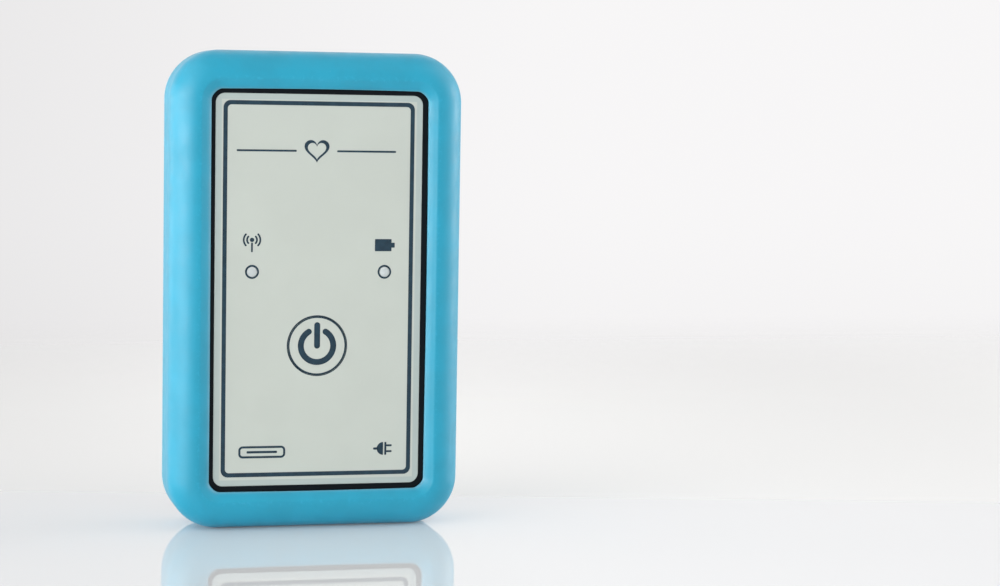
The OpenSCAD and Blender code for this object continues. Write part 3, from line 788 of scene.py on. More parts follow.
@dataclass
class SoftSleeve:
    """One-piece moulded sleeve: a rounded bead all round the case, with a slope down to a thin lip.

    The section is drawn in u, the distance out from the line through the corner centres, and v, the
    height over the middle plane, and is then carried round the case.

    Attributes:
        slope_swell: How far the slope bulges out between crest and lip.
        lip_wander: Unevenness of the lip's edge, sideways.
        skin_wander: Unevenness of the lip and slope in height.
        wander_waves: Waves round the sleeve, start and size of each wave of that unevenness.
        rear_shift: Moves these waves along at the rear, and lift_shift those in height.
        lip_lean: How far the whole lip lies to the right and up.
        lip_bow: How far the lip's right, top, left and bottom sides bow out in their middles.
        lip_round: How far the lip's corners are drawn in.
        crest_rub: Width of the rubbed strip on the crest, and lip_wear_and_highlight_width that of the
            strip on the lip, which is rubbed and carries a painted highlight.
        corner_rub: Strength of wear on the corners, which sets in corner_from out and takes
            corner_blend to grow.
        lead_way: Width and height of the way to the lead's socket, and charge_way to the charger's.
    """

    corner_r: float = 12.5
    fit: float = 0.1
    lip_reach: float = 6.55
    lip_t: float = 0.6
    lip_edge_r: float = 0.25
    lip_heel_r: float = 0.12
    crest_r: float = 1.6
    bead_r: float = 6.9
    slope_swell: float = 0.1
    pocket_edge_r: float = 2.1
    side_steps: int = 4
    outer_steps: int = 30
    crest_steps: int = 7
    slope_steps: int = 10
    heel_steps: int = 3
    pocket_steps: int = 8
    corner_steps: int = 30
    long_steps: int = 64
    short_steps: int = 34
    lip_wander: float = 0.05
    rear_shift: float = 2.7
    lift_shift: float = 1.3
    lip_lean: Point = (0.13, 0.06)
    lip_bow: tuple[float, ...] = (0.12, 0.18, 0.0, 0.12)
    lip_round: float = 0.2
    skin_wander: float = 0.05
    wander_waves: tuple[Triple, ...] = (
        (2.0, 0.9, 0.50), (3.0, 2.3, 0.42), (5.0, 4.1, 0.30), (8.0, 0.4, 0.20), (13.0, 5.2, 0.12),
    )
    crest_rub: float = 0.7
    lip_wear_and_highlight_width: float = 0.35
    corner_rub: float = 0.6
    corner_from: float = 4.0
    corner_blend: float = 4.0
    sharp_angle: float = 50.0
    lead_way: Point = (20.0, 8.8)
    charge_way: Point = (12.0, 7.2)
    low: Vector = field(default_factory=lambda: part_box("sleeve")[0] / MM)
    high: Vector = field(default_factory=lambda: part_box("sleeve")[1] / MM)

    def __post_init__(self) -> None:
        """Works out the sizes that follow from the frame."""
        case_low, case_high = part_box("rear_cover")
        self.width = self.high.x - self.low.x
        self.height = self.high.z - self.low.z
        self.half_w = self.width / 2 - self.corner_r
        self.half_h = self.height / 2 - self.corner_r
        self.crest_v = self.high.y
        self.wall = (self.width - (case_high.x - case_low.x) / MM) / 2 - self.fit
        self.pocket_u = self.corner_r - self.wall
        self.pocket_v = PLATE.face + self.fit
        self.lip_u = self.pocket_u - self.lip_reach
        self.crest_u = self.corner_r - self.bead_r

    def half_section(self) -> list[Point]:
        """Draws the front half of the section.

        Returns:
            Its points from the outer side's middle over the crest and lip to the pocket's middle.
        """
        round_v = self.crest_v - self.bead_r
        crest = (self.crest_u, self.crest_v - self.crest_r)
        lip = (self.lip_u + self.lip_edge_r, self.pocket_v + self.lip_t - self.lip_edge_r)
        run = math.dist(crest, lip)
        heading = math.degrees(math.atan2(lip[1] - crest[1], lip[0] - crest[0])) % 360
        tangent = heading - math.degrees(math.acos((self.crest_r - self.lip_edge_r) / run))
        side = [(self.corner_r, round_v * i / self.side_steps) for i in range(self.side_steps)]
        outer = arc((self.crest_u, round_v), self.bead_r, 0, 90, self.outer_steps)
        top = arc(crest, self.crest_r, 90, tangent, self.crest_steps)[1:]
        edge = arc(lip, self.lip_edge_r, tangent, 180, self.crest_steps)
        start, end = top[-1], edge[0]
        rise = (math.cos(math.radians(tangent)), math.sin(math.radians(tangent)))
        slope = []
        for i in range(1, self.slope_steps):
            share = i / self.slope_steps
            swell = self.slope_swell * math.sin(math.pi * share)
            slope.append(tuple(a + (b - a) * share + n * swell for a, b, n in zip(start, end, rise)))
        heel = (self.lip_u + self.lip_heel_r, self.pocket_v + self.lip_heel_r)
        under = arc(heel, self.lip_heel_r, 180, 270, self.heel_steps)
        pocket_edge = (self.pocket_u - self.pocket_edge_r, self.pocket_v - self.pocket_edge_r)
        inner = arc(pocket_edge, self.pocket_edge_r, 90, 0, self.pocket_steps)
        return side + outer + top + slope + edge + under + inner

    def stations(self) -> list[Triple]:
        """Walks round the rectangle of the corner centres.

        Returns:
            For each station x and y of the line, and the direction outwards in degrees.
        """
        walk: list[Triple] = []
        corners = [(x * self.half_w, y * self.half_h) for x, y in QUARTERS]
        for quarter, (x, y) in enumerate(corners):
            for i in range(self.corner_steps):
                walk.append((x, y, 90.0 * quarter + 90.0 * i / self.corner_steps))
            far_x, far_y = corners[(quarter + 1) % 4]
            steps = self.short_steps if quarter % 2 == 0 else self.long_steps
            for i in range(steps):
                share = i / steps
                walk.append((x + (far_x - x) * share, y + (far_y - y) * share, 90.0 * (quarter + 1)))
        return walk

    def wander(self, share: float, shift: float) -> float:
        """Gives the slow unevenness, from about -1 to 1, at a station a share of the way round."""
        at = math.tau * share
        return sum(size * math.sin(at * turns + start + shift) for turns, start, size in self.wander_waves)

    def lip_shift(self, x: float, y: float, out: Point) -> float:
        """Tells how far the loose lip lies outside its drawn place at one station.

        Args:
            x: Place of the station, to the right.
            y: Place of the station, up.
            out: Direction outwards.

        Returns:
            The shift outwards, from the lean of the whole lip, the bow of each side and the corners.
        """
        right, top, left, bottom = self.lip_bow
        along_side = 1 - (y / self.half_h) ** 2
        along_end = 1 - (x / self.half_w) ** 2
        bow = along_side * (right * max(out[0], 0.0) + left * max(-out[0], 0.0))
        bow += along_end * (top * max(out[1], 0.0) + bottom * max(-out[1], 0.0))
        corner = self.lip_round * abs(2 * out[0] * out[1]) ** 1.5
        return out[0] * self.lip_lean[0] + out[1] * self.lip_lean[1] + bow - corner

    def lip_share(self, u: float, v: float) -> float:
        """Tells how much a point of the section belongs to the loose lip, from 0 to 1."""
        near = (self.crest_u - u) / (self.crest_u - self.lip_u)
        return max(0.0, min(1.0, near)) if abs(v) > self.pocket_v - 0.01 else 0.0

    def skin(self) -> bpy.types.Mesh:
        """Carries the section round the case.

        Returns:
            The closed mesh, in metres.
        """
        half = self.half_section()
        section = half + [(u, -v) for u, v in reversed(half)][:-1]
        walk = self.stations()
        points = []
        for number, (x, y, degrees) in enumerate(walk):
            share = number / len(walk)
            out = (math.cos(math.radians(degrees)), math.sin(math.radians(degrees)))
            shift = self.lip_shift(x, y, out)
            for u, v in section:
                side = 1 if v > 0 else -1
                start = 0.0 if v > 0 else self.rear_shift
                loose = self.lip_share(u, v)
                reach = u + loose * (shift + self.lip_wander * self.wander(share, start))
                lift = loose * self.skin_wander * (1.0 + self.wander(share, start + self.lift_shift))
                points.append(PLATE.at(x + out[0] * reach, y + out[1] * reach, v + lift * side))
        count = len(section)
        total = len(points)
        faces = [
            (s + i, (s + count) % total + i, (s + count) % total + (i + 1) % count, s + (i + 1) % count)
            for s in range(0, total, count)
            for i in range(count)
        ]
        mesh = bpy.data.meshes.new("sleeve_skin")
        mesh.from_pydata(points, [], faces)
        mesh.validate()
        return mesh

    def plug_ways(self) -> list[PlugWay]:
        """Gives the two ways through the bottom wall, each round its socket."""
        ways = []
        for node, size in (("lead_socket_shell", self.lead_way), ("charge_socket_shell", self.charge_way)):
            low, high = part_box(node)
            centre = (low + high) / MM / 2
            ways.append(PlugWay(centre.x, -centre.y, *size))
        return ways

    def cut(self, sleeve: bpy.types.Object) -> None:
        """Cuts the ways for the plugs.

        Args:
            sleeve: The sleeve's object.
        """
        cutters = [way.cutter(self.wall) for way in self.plug_ways()]
        for cutter in cutters:
            step = sleeve.modifiers.new("plug_way", "BOOLEAN")
            step.operation = "DIFFERENCE"
            step.solver = "EXACT"
            step.object = cutter
        shaped = sleeve.evaluated_get(bpy.context.evaluated_depsgraph_get())
        sleeve.data = bpy.data.meshes.new_from_object(shaped)
        sleeve.modifiers.clear()
        for cutter in cutters:
            bpy.data.objects.remove(cutter)

    def mark_wear(self, mesh: bpy.types.Mesh) -> None:
        """Keeps on each point how much hands and tables rub it, and where the lip's painted highlight lies.

        Args:
            mesh: The sleeve's mesh.
        """
        at = np.array([v.co for v in mesh.vertices]) / MM
        beyond_x = np.maximum(np.abs(at[:, 0] - PLATE.middle.x / MM) - self.half_w, 0.0)
        beyond_z = np.maximum(np.abs(at[:, 2] - PLATE.middle.z / MM) - self.half_h, 0.0)
        u = np.hypot(beyond_x, beyond_z)
        v = np.abs(at[:, 1])
        crest = np.exp(-(((u - self.crest_u) / self.crest_rub) ** 2)) * (v > self.crest_v - 1.0)
        lip = np.exp(-(((u - self.lip_u) / self.lip_wear_and_highlight_width) ** 2)) * (v > self.pocket_v)
        inside = (np.minimum(beyond_x, beyond_z) - self.corner_from) / self.corner_blend
        corner = np.clip(inside, 0.0, 1.0) * self.corner_rub
        # lip_dust marks where the painted highlight along the lip's edge goes
        for name, values in (("edge_wear", crest + lip + corner), ("lip_dust", lip)):
            kept = mesh.attributes.new(name, "FLOAT", "POINT")
            kept.data.foreach_set("value", np.clip(values, 0.0, 1.0).astype(np.float32))

    def build(self) -> bpy.types.Object:
        """Makes the sleeve and puts it in place of its plain solid.

        Returns:
            The sleeve.
        """
        sleeve = new_object("soft_sleeve", self.skin())
        self.cut(sleeve)
        self.mark_wear(sleeve.data)
        sleeve.data.shade_smooth()
        sleeve.data.set_sharp_from_angle(angle=math.radians(self.sharp_angle))
        sleeve.data.materials.append(Shelf.SLEEVE.material())
        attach(sleeve, Body.CASE.value)
        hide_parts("sleeve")
        LOG.info("sleeve: %d faces, wall %.2f mm", len(sleeve.data.polygons), self.wall)
        return sleeve


# ---- Printed marks ----


class InkCoat:
    """One printed mark: flat shapes that become a thin coat of ink on the film."""

    THICKNESS = 0.02
    SUNK = 0.004

    def __init__(self, name: str, body: Body, surface: float) -> None:
        """Starts an empty mark.

        Args:
            name: Name of the piece.
            body: What it rides on.
            surface: Height of the film's face over the middle plane.
        """
        self.name = name
        self.body = body
        self.low = surface - self.SUNK
        self.high = surface + self.THICKNESS
        self.mesh = bmesh.new()

    def ring_of(self, outline: Sequence[Point], height: float) -> list[bmesh.types.BMVert]:
        """Adds the points of an outline at one height."""
        return [self.mesh.verts.new(PLATE.at(x, y, height)) for x, y in outline]

    def wall(self, low: Sequence[bmesh.types.BMVert], high: Sequence[bmesh.types.BMVert]) -> None:
        """Joins two rings of as many points with a closed strip."""
        for i, vert in enumerate(low):
            self.mesh.faces.new((low[i - 1], vert, high[i], high[i - 1]))

    def fill(self, outline: Sequence[Point]) -> "InkCoat":
        """Prints a filled shape.

        Args:
            outline: Its closed outline.

        Returns:
            The mark, so that calls can be chained.
        """
        low = self.ring_of(outline, self.low)
        high = self.ring_of(outline, self.high)
        self.wall(low, high)
        self.mesh.faces.new(high)
        self.mesh.faces.new(list(reversed(low)))
        return self

    def band(self, outer: Sequence[Point], inner: Sequence[Point]) -> "InkCoat":
        """Prints a closed band between two outlines.

        Args:
            outer: Outer outline.
            inner: Inner outline, with as many points.

        Returns:
            The mark, so that calls can be chained.
        """
        corners = [self.ring_of(outer, self.low), self.ring_of(outer, self.high)]
        corners += [self.ring_of(inner, self.high), self.ring_of(inner, self.low)]
        for i, ring in enumerate(corners):
            self.wall(corners[i - 1], ring)
        return self

    def ring(self, centre: Point, inner: float, outer: float) -> "InkCoat":
        """Prints a ring with two radii."""
        return self.band(circle(centre, outer), circle(centre, inner))

    def bar(self, left: float, bottom: float, right: float, top: float, corner: float = 0.12) -> "InkCoat":
        """Prints an upright rectangle with slightly rounded corners."""
        centre = ((left + right) / 2, (bottom + top) / 2)
        return self.fill(rounded_rectangle(centre, (right - left, top - bottom), corner, 4))

    def finish(self) -> bpy.types.Object:
        """Turns the shapes into a piece.

        Returns:
            The printed mark.
        """
        bmesh.ops.recalc_face_normals(self.mesh, faces=self.mesh.faces)
        data = bpy.data.meshes.new(self.name)
        self.mesh.to_mesh(data)
        self.mesh.free()
        data.materials.append(Shelf.INK.material())
        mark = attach(new_object(self.name, data), self.body.value)
        LOG.info("printed %s on %s", self.name, self.body.value)
        return mark


@dataclass
class FilmPrint:
    """The marks on the front film. Their places are measured from the print's own middle.

    Attributes:
        print_at: The print's middle in the layout.
        slit: Room between the two halves of the key's ring, over the slit round the key.
        power_gap: Half of the opening at the top of the power sign, in degrees.
        power_bar: Ends of its bar, up from the key's middle.
        battery_pole: Length and height of the pole, and battery_size those of the battery.
        plug_cord: Length and height of the cord stub, and plug_pin those of a pin.
        plug_flat: Where the flat side of the plug's body lies, to the right of the cord's end.
        plug_bar: Start and end of the bar, to the right of that flat side.
        sender_mast: Points of the mast, down from the dot.
        sender_arc: First angle and sweep of each arc on the right, in degrees.
    """

    print_at: Point = (-0.07, 0.42)
    border: Point = (48.92, 95.21)
    border_r: float = 1.8
    border_w: float = 1.08
    lamp_hole_r: float = 1.35
    lamp_ring_r: float = 1.77
    key_ring_r: float = 7.76
    key_ring_w: float = 0.68
    slit: float = 0.15
    power_r: float = 4.17
    power_w: float = 1.53
    power_gap: float = 31.0
    power_bar: Point = (-0.75, 6.0)
    battery_at: Point = (14.53, 9.78)
    battery_size: Point = (4.32, 3.1)
    battery_pole: Point = (0.83, 1.26)
    plug_at: Point = (14.71, -40.91)
    plug_cord: Point = (1.3, 0.6)
    plug_flat: float = 2.62
    plug_r: float = 1.66
    plug_bar: Point = (0.33, 0.86)
    plug_pin: Point = (1.38, 0.5)
    plug_rises: Point = (-0.74, 0.78)
    sender_at: Point = (-16.99, 12.6)
    sender_dot_r: float = 0.55
    sender_mast: Triple = (0.9, 1.6, 2.9)
    sender_radii: Point = (1.25, 2.1)
    sender_arc: Point = (-42, 84)
    sender_w: float = 0.45
    socket_at: Point = (-14.01, -41.28)
    socket_size: Point = (12.0, 3.1)
    socket_r: float = 1.1
    socket_w: float = 0.55
    socket_bar: Point = (7.8, 0.6)
    heart_at: Point = (-0.68, 35.1)
    heart_halves: Point = (3.2, 2.35)
    rule: Point = (5.4, 20.15)
    rule_w: float = 0.5
    surface: float = field(default_factory=lambda: PLATE.top_of("front_overlay"))

    def coat(self, name: str, body: Body = Body.CASE) -> InkCoat:
        """Starts a mark on the film."""
        return InkCoat(name, body, self.surface)

    def spot(self, point: Point) -> Point:
        """Gives the layout's point for a point of the print."""
        return point[0] + self.print_at[0], point[1] + self.print_at[1]

    def frame_line(self) -> None:
        """Prints the line that runs round the front."""
        inner = (self.border[0] - 2 * self.border_w, self.border[1] - 2 * self.border_w)
        centre = self.spot((0.0, 0.0))
        self.coat("print_border").band(
            rounded_rectangle(centre, self.border, self.border_r),
            rounded_rectangle(centre, inner, self.border_r - self.border_w * 0.75),
        ).finish()

    def power_sign(self) -> None:
        """Prints the key's ring, which crosses the slit, and the sign inside it."""
        centre = PLATE.centre_of("power_key_face")
        low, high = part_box("power_key_face")
        face_r = (high.x - low.x) / MM / 2
        inner_r = self.key_ring_r - self.key_ring_w
        self.coat("print_key_ring_outer").ring(centre, face_r + self.slit, self.key_ring_r).finish()
        self.coat("print_key_ring_inner", Body.KEY).ring(centre, inner_r, face_r).finish()
        hook = arc(centre, self.power_r, 90 + self.power_gap, 450 - self.power_gap, 72)
        bottom, top = self.power_bar
        rises = np.linspace(bottom, top, 5)
        rises[[0, -1]] += np.array([1, -1]) * self.power_w / 2
        bar = [(centre[0], centre[1] + rise) for rise in rises]
        sign = self.coat("print_power_sign", Body.KEY)
        sign.fill(thick_line(hook, self.power_w)).fill(thick_line(bar, self.power_w)).finish()

    def lamp_ring(self, side: Side) -> None:
        """Prints the ring round one indicator.

        Args:
            side: Which indicator.
        """
        name = side.name.lower()
        centre = PLATE.centre_of(f"light_pipe_{name}")
        self.coat(f"print_lamp_ring_{name}").ring(centre, self.lamp_hole_r, self.lamp_ring_r).finish()

    def battery_sign(self) -> None:
        """Prints a filled battery with its pole to the right."""
        left, bottom = self.spot(self.battery_at)
        right, top = left + self.battery_size[0], bottom + self.battery_size[1]
        length, height = self.battery_pole
        middle = (bottom + top) / 2
        mark = self.coat("print_battery_sign")
        mark.bar(left, bottom, right, top)
        mark.bar(right, middle - height / 2, right + length, middle + height / 2)
        mark.finish()

    def plug_sign(self) -> None:
        """Prints a mains plug: a cord stub, a half-round body, a bar and two pins."""
        left, middle = self.spot(self.plug_at)
        flat = left + self.plug_flat
        near, far = (flat + along for along in self.plug_bar)
        cord, pin = self.plug_cord, self.plug_pin
        mark = self.coat("print_plug_sign")
        mark.bar(left, middle - cord[1] / 2, left + cord[0], middle + cord[1] / 2, 0.28)
        mark.fill(arc((flat, middle), self.plug_r, 90, 270, 28))
        mark.bar(near, middle - self.plug_r, far, middle + self.plug_r, 0.14)
        for rise in self.plug_rises:
            mark.bar(far, middle + rise - pin[1] / 2, far + pin[0], middle + rise + pin[1] / 2)
        mark.finish()

    def sender_sign(self) -> None:
        """Prints a generic radio sign: a dot on a short mast between two pairs of arcs."""
        centre = self.spot(self.sender_at)
        first, sweep = self.sender_arc
        mark = self.coat("print_sender_sign")
        mark.fill(circle(centre, self.sender_dot_r, 32))
        mark.fill(thick_line([(centre[0], centre[1] - down) for down in self.sender_mast], self.sender_w))
        for radius in self.sender_radii:
            for start in (first, first + 180):
                mark.fill(thick_line(arc(centre, radius, start, start + sweep, 20), self.sender_w))
        mark.finish()

    def socket_sign(self) -> None:
        """Prints a generic wide socket: a rounded outline with its contact bar."""
        centre = self.spot(self.socket_at)
        outer = self.socket_size
        inner = (outer[0] - 2 * self.socket_w, outer[1] - 2 * self.socket_w)
        mark = self.coat("print_socket_sign")
        mark.band(
            rounded_rectangle(centre, outer, self.socket_r),
            rounded_rectangle(centre, inner, self.socket_r - self.socket_w),
        )
        mark.fill(rounded_rectangle(centre, self.socket_bar, 0.2, 4))
        mark.finish()

    def heart_sign(self) -> None:
        """Prints an open heart between two thin rules."""
        x, y = self.spot(self.heart_at)
        near, far = self.rule
        mark = self.coat("print_heart_sign")
        mark.band(*(self.heart((x, y), half) for half in self.heart_halves))
        for side in Side:
            rule = [(x + side.value * along, y) for along in np.linspace(near, far, 5)]
            mark.fill(thick_line(rule, self.rule_w))
        mark.finish()

    def heart(self, centre: Point, half: float, steps: int = 72, lift: float = 0.12) -> list[Point]:
        """Draws a plain heart.

        Args:
            centre: Its middle.
            half: Half of its width.
            steps: Number of points.
            lift: How far its curve is raised onto the middle, as a share of that half.

        Returns:
            The closed outline.
        """
        outline = []
        for turn in (math.tau * i / steps for i in range(steps)):
            waves = [share * math.cos(times * turn) for times, share in enumerate((13, -5, -2, -1), 1)]
            wide, tall = math.sin(turn) ** 3, sum(waves) / 16
            outline.append((centre[0] + half * wide, centre[1] + half * (tall + lift)))
        return outline

    def build(self) -> None:
        """Prints every mark."""
        self.frame_line()
        self.power_sign()
        for side in Side:
            self.lamp_ring(side)
        self.battery_sign()
        self.plug_sign()
        self.sender_sign()
        self.socket_sign()
        self.heart_sign()


# ---- Carried-over parts ----


@dataclass
class CarriedParts:
    """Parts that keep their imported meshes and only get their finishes."""

    worn: dict[Finish, tuple[str, ...]]

    def build(self) -> None:
        """Dresses each part in its finish."""
        for finish, nodes in self.worn.items():
            for node in nodes:
                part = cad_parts[node]
                part.data.materials.clear()
                part.data.materials.append(finish.material())
                LOG.info("dressed %s in %s", node, finish.name)


@dataclass
class CaseParts(CarriedParts):
    """The hard case with its film, key and indicators."""

    worn: dict[Finish, tuple[str, ...]] = field(
        default_factory=lambda: {
            Shelf.CASE: ("front_cover", "rear_cover"),
            Shelf.FILM: ("front_overlay", "power_key_face"),
            Shelf.WHITE_PLASTIC: ("key_actuator",),
            Shelf.PIPE: ("light_pipe_left", "light_pipe_right"),
            Shelf.SCREW: ("case_screws",),
        }
    )


@dataclass
class Electronics(CarriedParts):
    """The board with all that stands on it, the sockets and the battery."""

    worn: dict[Finish, tuple[str, ...]] = field(
        default_factory=lambda: {
            Shelf.BOARD: ("main_board",),
            Shelf.BLACK_PLASTIC: ("tact_switch", "switch_button", "lead_socket_core", "charge_socket_core"),
            Shelf.LAMP: ("led_left", "led_right"),
            Shelf.SOCKET: ("lead_socket_shell", "charge_socket_shell", "radio_module", "board_crystal"),
            Shelf.GILT: ("lead_socket_contacts", "charge_socket_contacts"),
            Shelf.FOIL: ("battery_cell",),
            Shelf.FOAM: ("battery_pad",),
            Shelf.RED_WIRE: ("battery_leads",),
            Shelf.WHITE_PLASTIC: ("battery_plug", "battery_header"),
            Shelf.CHIP: ("front_end_chip", "controller_chip", "memory_chip", "charger_coil"),
            Shelf.CAPACITOR: ("chip_capacitors",),
            Shelf.SCREW: ("board_screws",),
        }
    )


# ---- Studio ----


@dataclass(frozen=True)
class LampRow:
    """Soft lamps that hang side by side at one height and look at the monitor.

    Attributes:
        name: Start of the lamps' names.
        elevation: Their height over the horizon, in degrees.
        distance: Their distance from the monitor, in metres.
        size: Width and height of each lamp, in metres.
        lamps: Azimuth in degrees and power in watts of each lamp. The azimuth is 0 in front, 90 on
            the monitor's right and -90 on its left.
    """

    name: str
    elevation: float
    distance: float
    size: Point
    lamps: tuple[Point, ...]

    def hang(self, azimuth: float, power: float, aim: Vector) -> None:
        """Hangs one lamp.

        Args:
            azimuth: Its direction, in degrees.
            power: Its power, in watts.
            aim: What it looks at.
        """
        name = f"{self.name}_{azimuth:.0f}"
        data = bpy.data.lights.new(name, "AREA")
        data.shape = "RECTANGLE"
        data.size, data.size_y = self.size
        data.energy = power
        turn, rise = math.radians(azimuth), math.radians(self.elevation)
        level = math.cos(rise)
        away = Vector((math.sin(turn) * level, -math.cos(turn) * level, math.sin(rise)))
        lamp = new_object(name, data)
        lamp.location = aim + away * self.distance
        lamp.rotation_mode = "QUATERNION"
        lamp.rotation_quaternion = (-away).to_track_quat("-Z", "Y")
        lamp.visible_camera = False

    def build(self, aim: Vector) -> None:
        """Hangs every lamp of the row.

        Args:
            aim: What they look at.
        """
        for azimuth, power in self.lamps:
            self.hang(azimuth, power, aim)
        LOG.info("hung %d lamps %s", len(self.lamps), self.name)


@dataclass(frozen=True)
class PhotoCamera:
    """The camera of the photograph.

    Attributes:
        lens: Focal length, in millimetres.
        sensor: Width of its sensor, in millimetres.
        place: Where it stands, in metres.
        yaw: Turn to the right about the upright, in degrees.
        pitch: Tilt down, in degrees.
        roll: Turn about its own axis, in degrees.
    """

    lens: float = 89.487
    sensor: float = 36.0
    place: Triple = (-0.11156, -0.63063, 0.10935)
    yaw: float = -14.3846
    pitch: float = 4.4036
    roll: float = 0.9585

    def axes(self) -> np.ndarray:
        """Works out the camera's axes.

        Returns:
            Three rows: right, down and forwards, each as x right, y down and z away.
        """
        turns = [math.radians(angle) for angle in (self.yaw, self.pitch, self.roll)]
        (cy, sy), (cp, sp), (cr, sr) = ((math.cos(turn), math.sin(turn)) for turn in turns)
        about_up = np.array([[cy, 0, sy], [0, 1, 0], [-sy, 0, cy]])
        tilt = np.array([[1, 0, 0], [0, cp, -sp], [0, sp, cp]])
        spin = np.array([[cr, -sr, 0], [sr, cr, 0], [0, 0, 1]])
        return spin @ tilt @ about_up

    def build(self) -> None:
        """Makes the camera and gives it to the scene."""
        right, down, ahead = (Vector((x, z, -y)) for x, y, z in self.axes())
        data = bpy.data.cameras.new("photo_camera")
        data.sensor_width = self.sensor
        data.lens = self.lens
        data.clip_start, data.clip_end = 0.01, 100.0
        camera = new_object("photo_camera", data)
        turned = Matrix((right, -down, -ahead)).transposed().to_4x4()
        camera.matrix_world = Matrix.Translation(self.place) @ turned
        bpy.context.scene.camera = camera


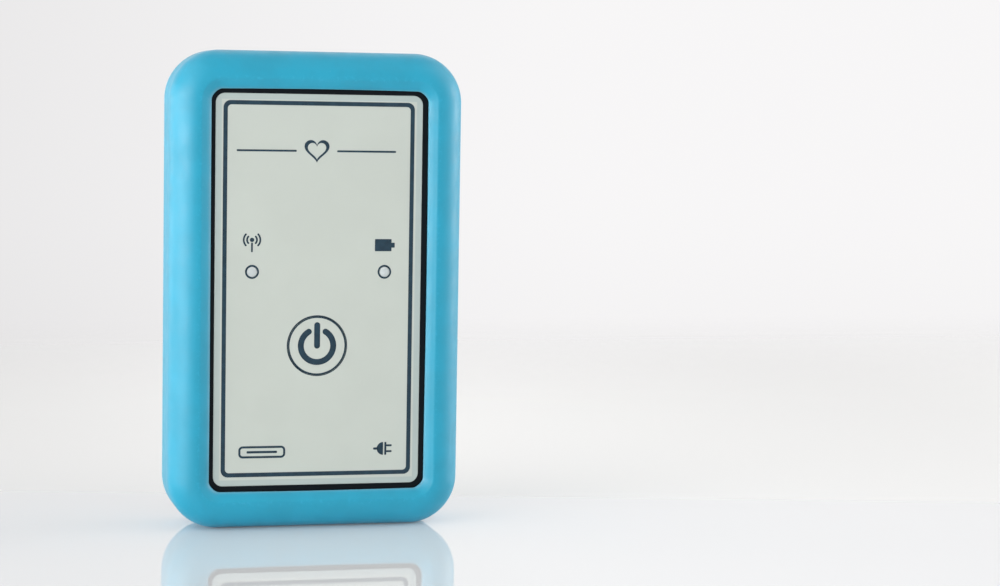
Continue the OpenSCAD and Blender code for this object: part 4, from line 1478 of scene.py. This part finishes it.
@dataclass
class Studio:
    """Floor, light and camera. A range of two lengths, in metres, is where a change starts and ends.

    Attributes:
        ambient: Strength of the even light from all round.
        backdrop: Colour that eyes and mirrors see behind everything, at its brightest.
        backdrop_left: Strength of that colour at the left.
        backdrop_turn: Range of sideways directions over which it reaches full strength.
        backdrop_low: Strength of that colour below the horizon.
        backdrop_fall: Range of upward directions over which it reaches full strength.
        sheet_edge: How far behind the monitor the glossy sheet ends.
        sheet_slant: How much nearer that edge comes with each metre to the right.
        sheet_blur: Half the width of that edge.
        sheet_rough: Roughness of the sheet by the monitor, sheet_worn that of the satin sheet, and
            table_rough that of the table.
        sheet_glow: Light of the sheet that only eyes and mirrors see, and table_glow that of the table.
        sheet_left_shade: Painted shade that darkens the sheet at the left, and table_left_shade that of the
            table.
        sheet_dull: Range of distances over which the sheet turns satin.
        sheet_outer: Range of distances over which it turns as matt as the table.
        floor_shade_turn: Range of x over which the floor's painted shade at the left gives way to its full
            colour.
        floor_fall: Range of x over which the floor's own light dies away.
        floor_half: Half the width of the floor, in metres.
        floor_clear: Range of y over which the floor fades out behind the monitor.
        floor_rim: Range of distances over which it fades out all round.
    """

    rows: tuple[LampRow, ...] = (
        LampRow("low_left", 3.0, 1.0, (0.3, 0.3), (
            (-135, 0.55), (-120, 0.75), (-105, 0.50), (-90, 1.30),
            (-75, 1.40), (-60, 1.75), (-45, 1.58), (-30, 0.60),
        )),
        LampRow("left", 14.0, 1.0, (0.3, 0.3), ((-150, 0.20), (-75, 0.55), (-60, 0.60), (-45, 0.45))),
        LampRow("right", 10.0, 1.0, (0.3, 0.5), ((60, 0.35), (75, 0.75), (90, 2.35), (105, 1.35))),
        LampRow("high", 45.0, 2.0, (1.0, 1.0), (
            (-105, 2.6), (-75, 2.2), (-45, 2.4), (45, 1.8), (75, 2.7), (105, 1.4), (165, 2.0),
        )),
    )
    ambient: float = 0.50
    backdrop: Colour = (0.934, 0.924, 0.929)
    backdrop_left: float = 0.856
    backdrop_turn: Point = (-0.06, 0.30)
    backdrop_low: float = 0.94
    backdrop_fall: Point = (-0.15, -0.03)
    sheet_colour: Colour = (0.880, 0.885, 0.895)
    table_colour: Colour = (0.930, 0.925, 0.915)
    sheet_edge: float = 0.045
    sheet_slant: float = 0.22
    sheet_blur: float = 0.003
    sheet_rough: float = 0.018
    sheet_worn: float = 0.26
    sheet_dull: Point = (0.08, 0.22)
    sheet_outer: Point = (0.24, 0.42)
    table_rough: float = 0.6
    grain: float = 90.0
    grain_rough: float = 0.01
    sheet_glow: float = 0.08
    table_glow: float = 0.10
    sheet_left_shade: float = 0.90
    table_left_shade: float = 0.865
    floor_shade_turn: Point = (-0.10, 0.06)
    floor_fall: Point = (0.06, 0.30)
    floor_half: float = 1.6
    floor_steps: int = 24
    floor_clear: Point = (0.22, 0.60)
    floor_rim: Point = (1.0, 1.5)

    def floor_material(self) -> bpy.types.Material:
        """Makes the floor: a glossy pale sheet that turns to matt paper behind the monitor, with painted
        shade at the left.

        Returns:
            The material, which fades out far from the monitor.
        """
        shader = Shader("floor_pale")
        x, y = shader.axis("X"), shader.axis("Y")
        depth = shader.maths("ADD", y, shader.maths("MULTIPLY", x, self.sheet_slant))
        behind = shader.span(depth, self.sheet_edge - self.sheet_blur, self.sheet_edge + self.sheet_blur)
        distance = shader.add("VectorMath", {0: shader.place}, operation="LENGTH").outputs["Value"]
        worn = shader.span(distance, *self.sheet_dull, self.sheet_rough, self.sheet_worn)
        matt = shader.maths("MAXIMUM", behind, shader.span(distance, *self.sheet_outer))
        dull = shader.span(matt, 0.0, 1.0, worn, self.table_rough)
        grain = shader.clouds(self.grain, MOST, (0.0, self.grain_rough))
        shader.set(roughness=shader.maths("ADD", dull, grain))
        # Painted shade: both the sheet and the table are made darker towards the left
        across = shader.span(x, *self.floor_shade_turn)
        sheet = shader.tint(across, shade(self.sheet_colour, self.sheet_left_shade), self.sheet_colour)
        table = shader.tint(across, shade(self.table_colour, self.table_left_shade), self.table_colour)
        colour = shader.tint(behind, sheet, table)
        shader.set(base_color=colour, emission_color=colour, ior=1.5)
        glow = shader.span(behind, 0.0, 1.0, self.sheet_glow, self.table_glow)
        glow = shader.maths("MULTIPLY", glow, shader.span(x, *self.floor_fall, 1.0, 0.0))
        shader.set(emission_strength=shader.maths("MULTIPLY", glow, shader.seen_rays()))
        rim = shader.span(distance, *self.floor_rim, 1.0, 0.0)
        shader.set(alpha=shader.maths("MULTIPLY", rim, shader.span(y, *self.floor_clear, 1.0, 0.0)))
        return shader.material

    def floor(self) -> None:
        """Lays the floor under the monitor."""
        grid = bmesh.new()
        steps = self.floor_steps
        bmesh.ops.create_grid(grid, x_segments=steps, y_segments=steps, size=self.floor_half)
        data = bpy.data.meshes.new("floor")
        grid.to_mesh(data)
        grid.free()
        data.materials.append(self.floor_material())
        new_object("floor", data)

    def hang_backdrop(self) -> None:
        """Sets the world: a pale backdrop that eyes and mirrors see, and an even light for the rest."""
        world = bpy.data.worlds.new("studio")
        bpy.context.scene.world = world
        world.use_nodes = True
        tree = Tree(world.node_tree, "Generated")
        left = tree.span(tree.axis("X"), *self.backdrop_turn, self.backdrop_left)
        low = tree.span(tree.axis("Z"), *self.backdrop_fall, self.backdrop_low)
        both = tree.maths("MULTIPLY", left, low)
        seen = tree.add("Background", {"Color": self.backdrop, "Strength": both})
        light = tree.add("Background", {"Strength": self.ambient})
        ends = {1: light.outputs["Background"], 2: seen.outputs["Background"]}
        choice = tree.add("MixShader", {"Fac": tree.seen_rays(), **ends})
        tree.add("OutputWorld", {"Surface": choice.outputs["Shader"]})

    def build(self) -> None:
        """Sets up the whole studio."""
        bpy.context.scene.view_settings.view_transform = "Standard"
        self.floor()
        self.hang_backdrop()
        for row in self.rows:
            row.build(PLATE.middle)
        PhotoCamera().build()


def main() -> None:
    """Builds the monitor's looks and its studio."""
    logging.basicConfig(level=logging.INFO, format="%(name)s: %(message)s")
    for part in (CaseParts(), Electronics(), SoftSleeve(), FilmPrint(), Studio()):
        LOG.info("building %s", type(part).__name__)
        part.build()


if __name__ == "__main__":
    main()
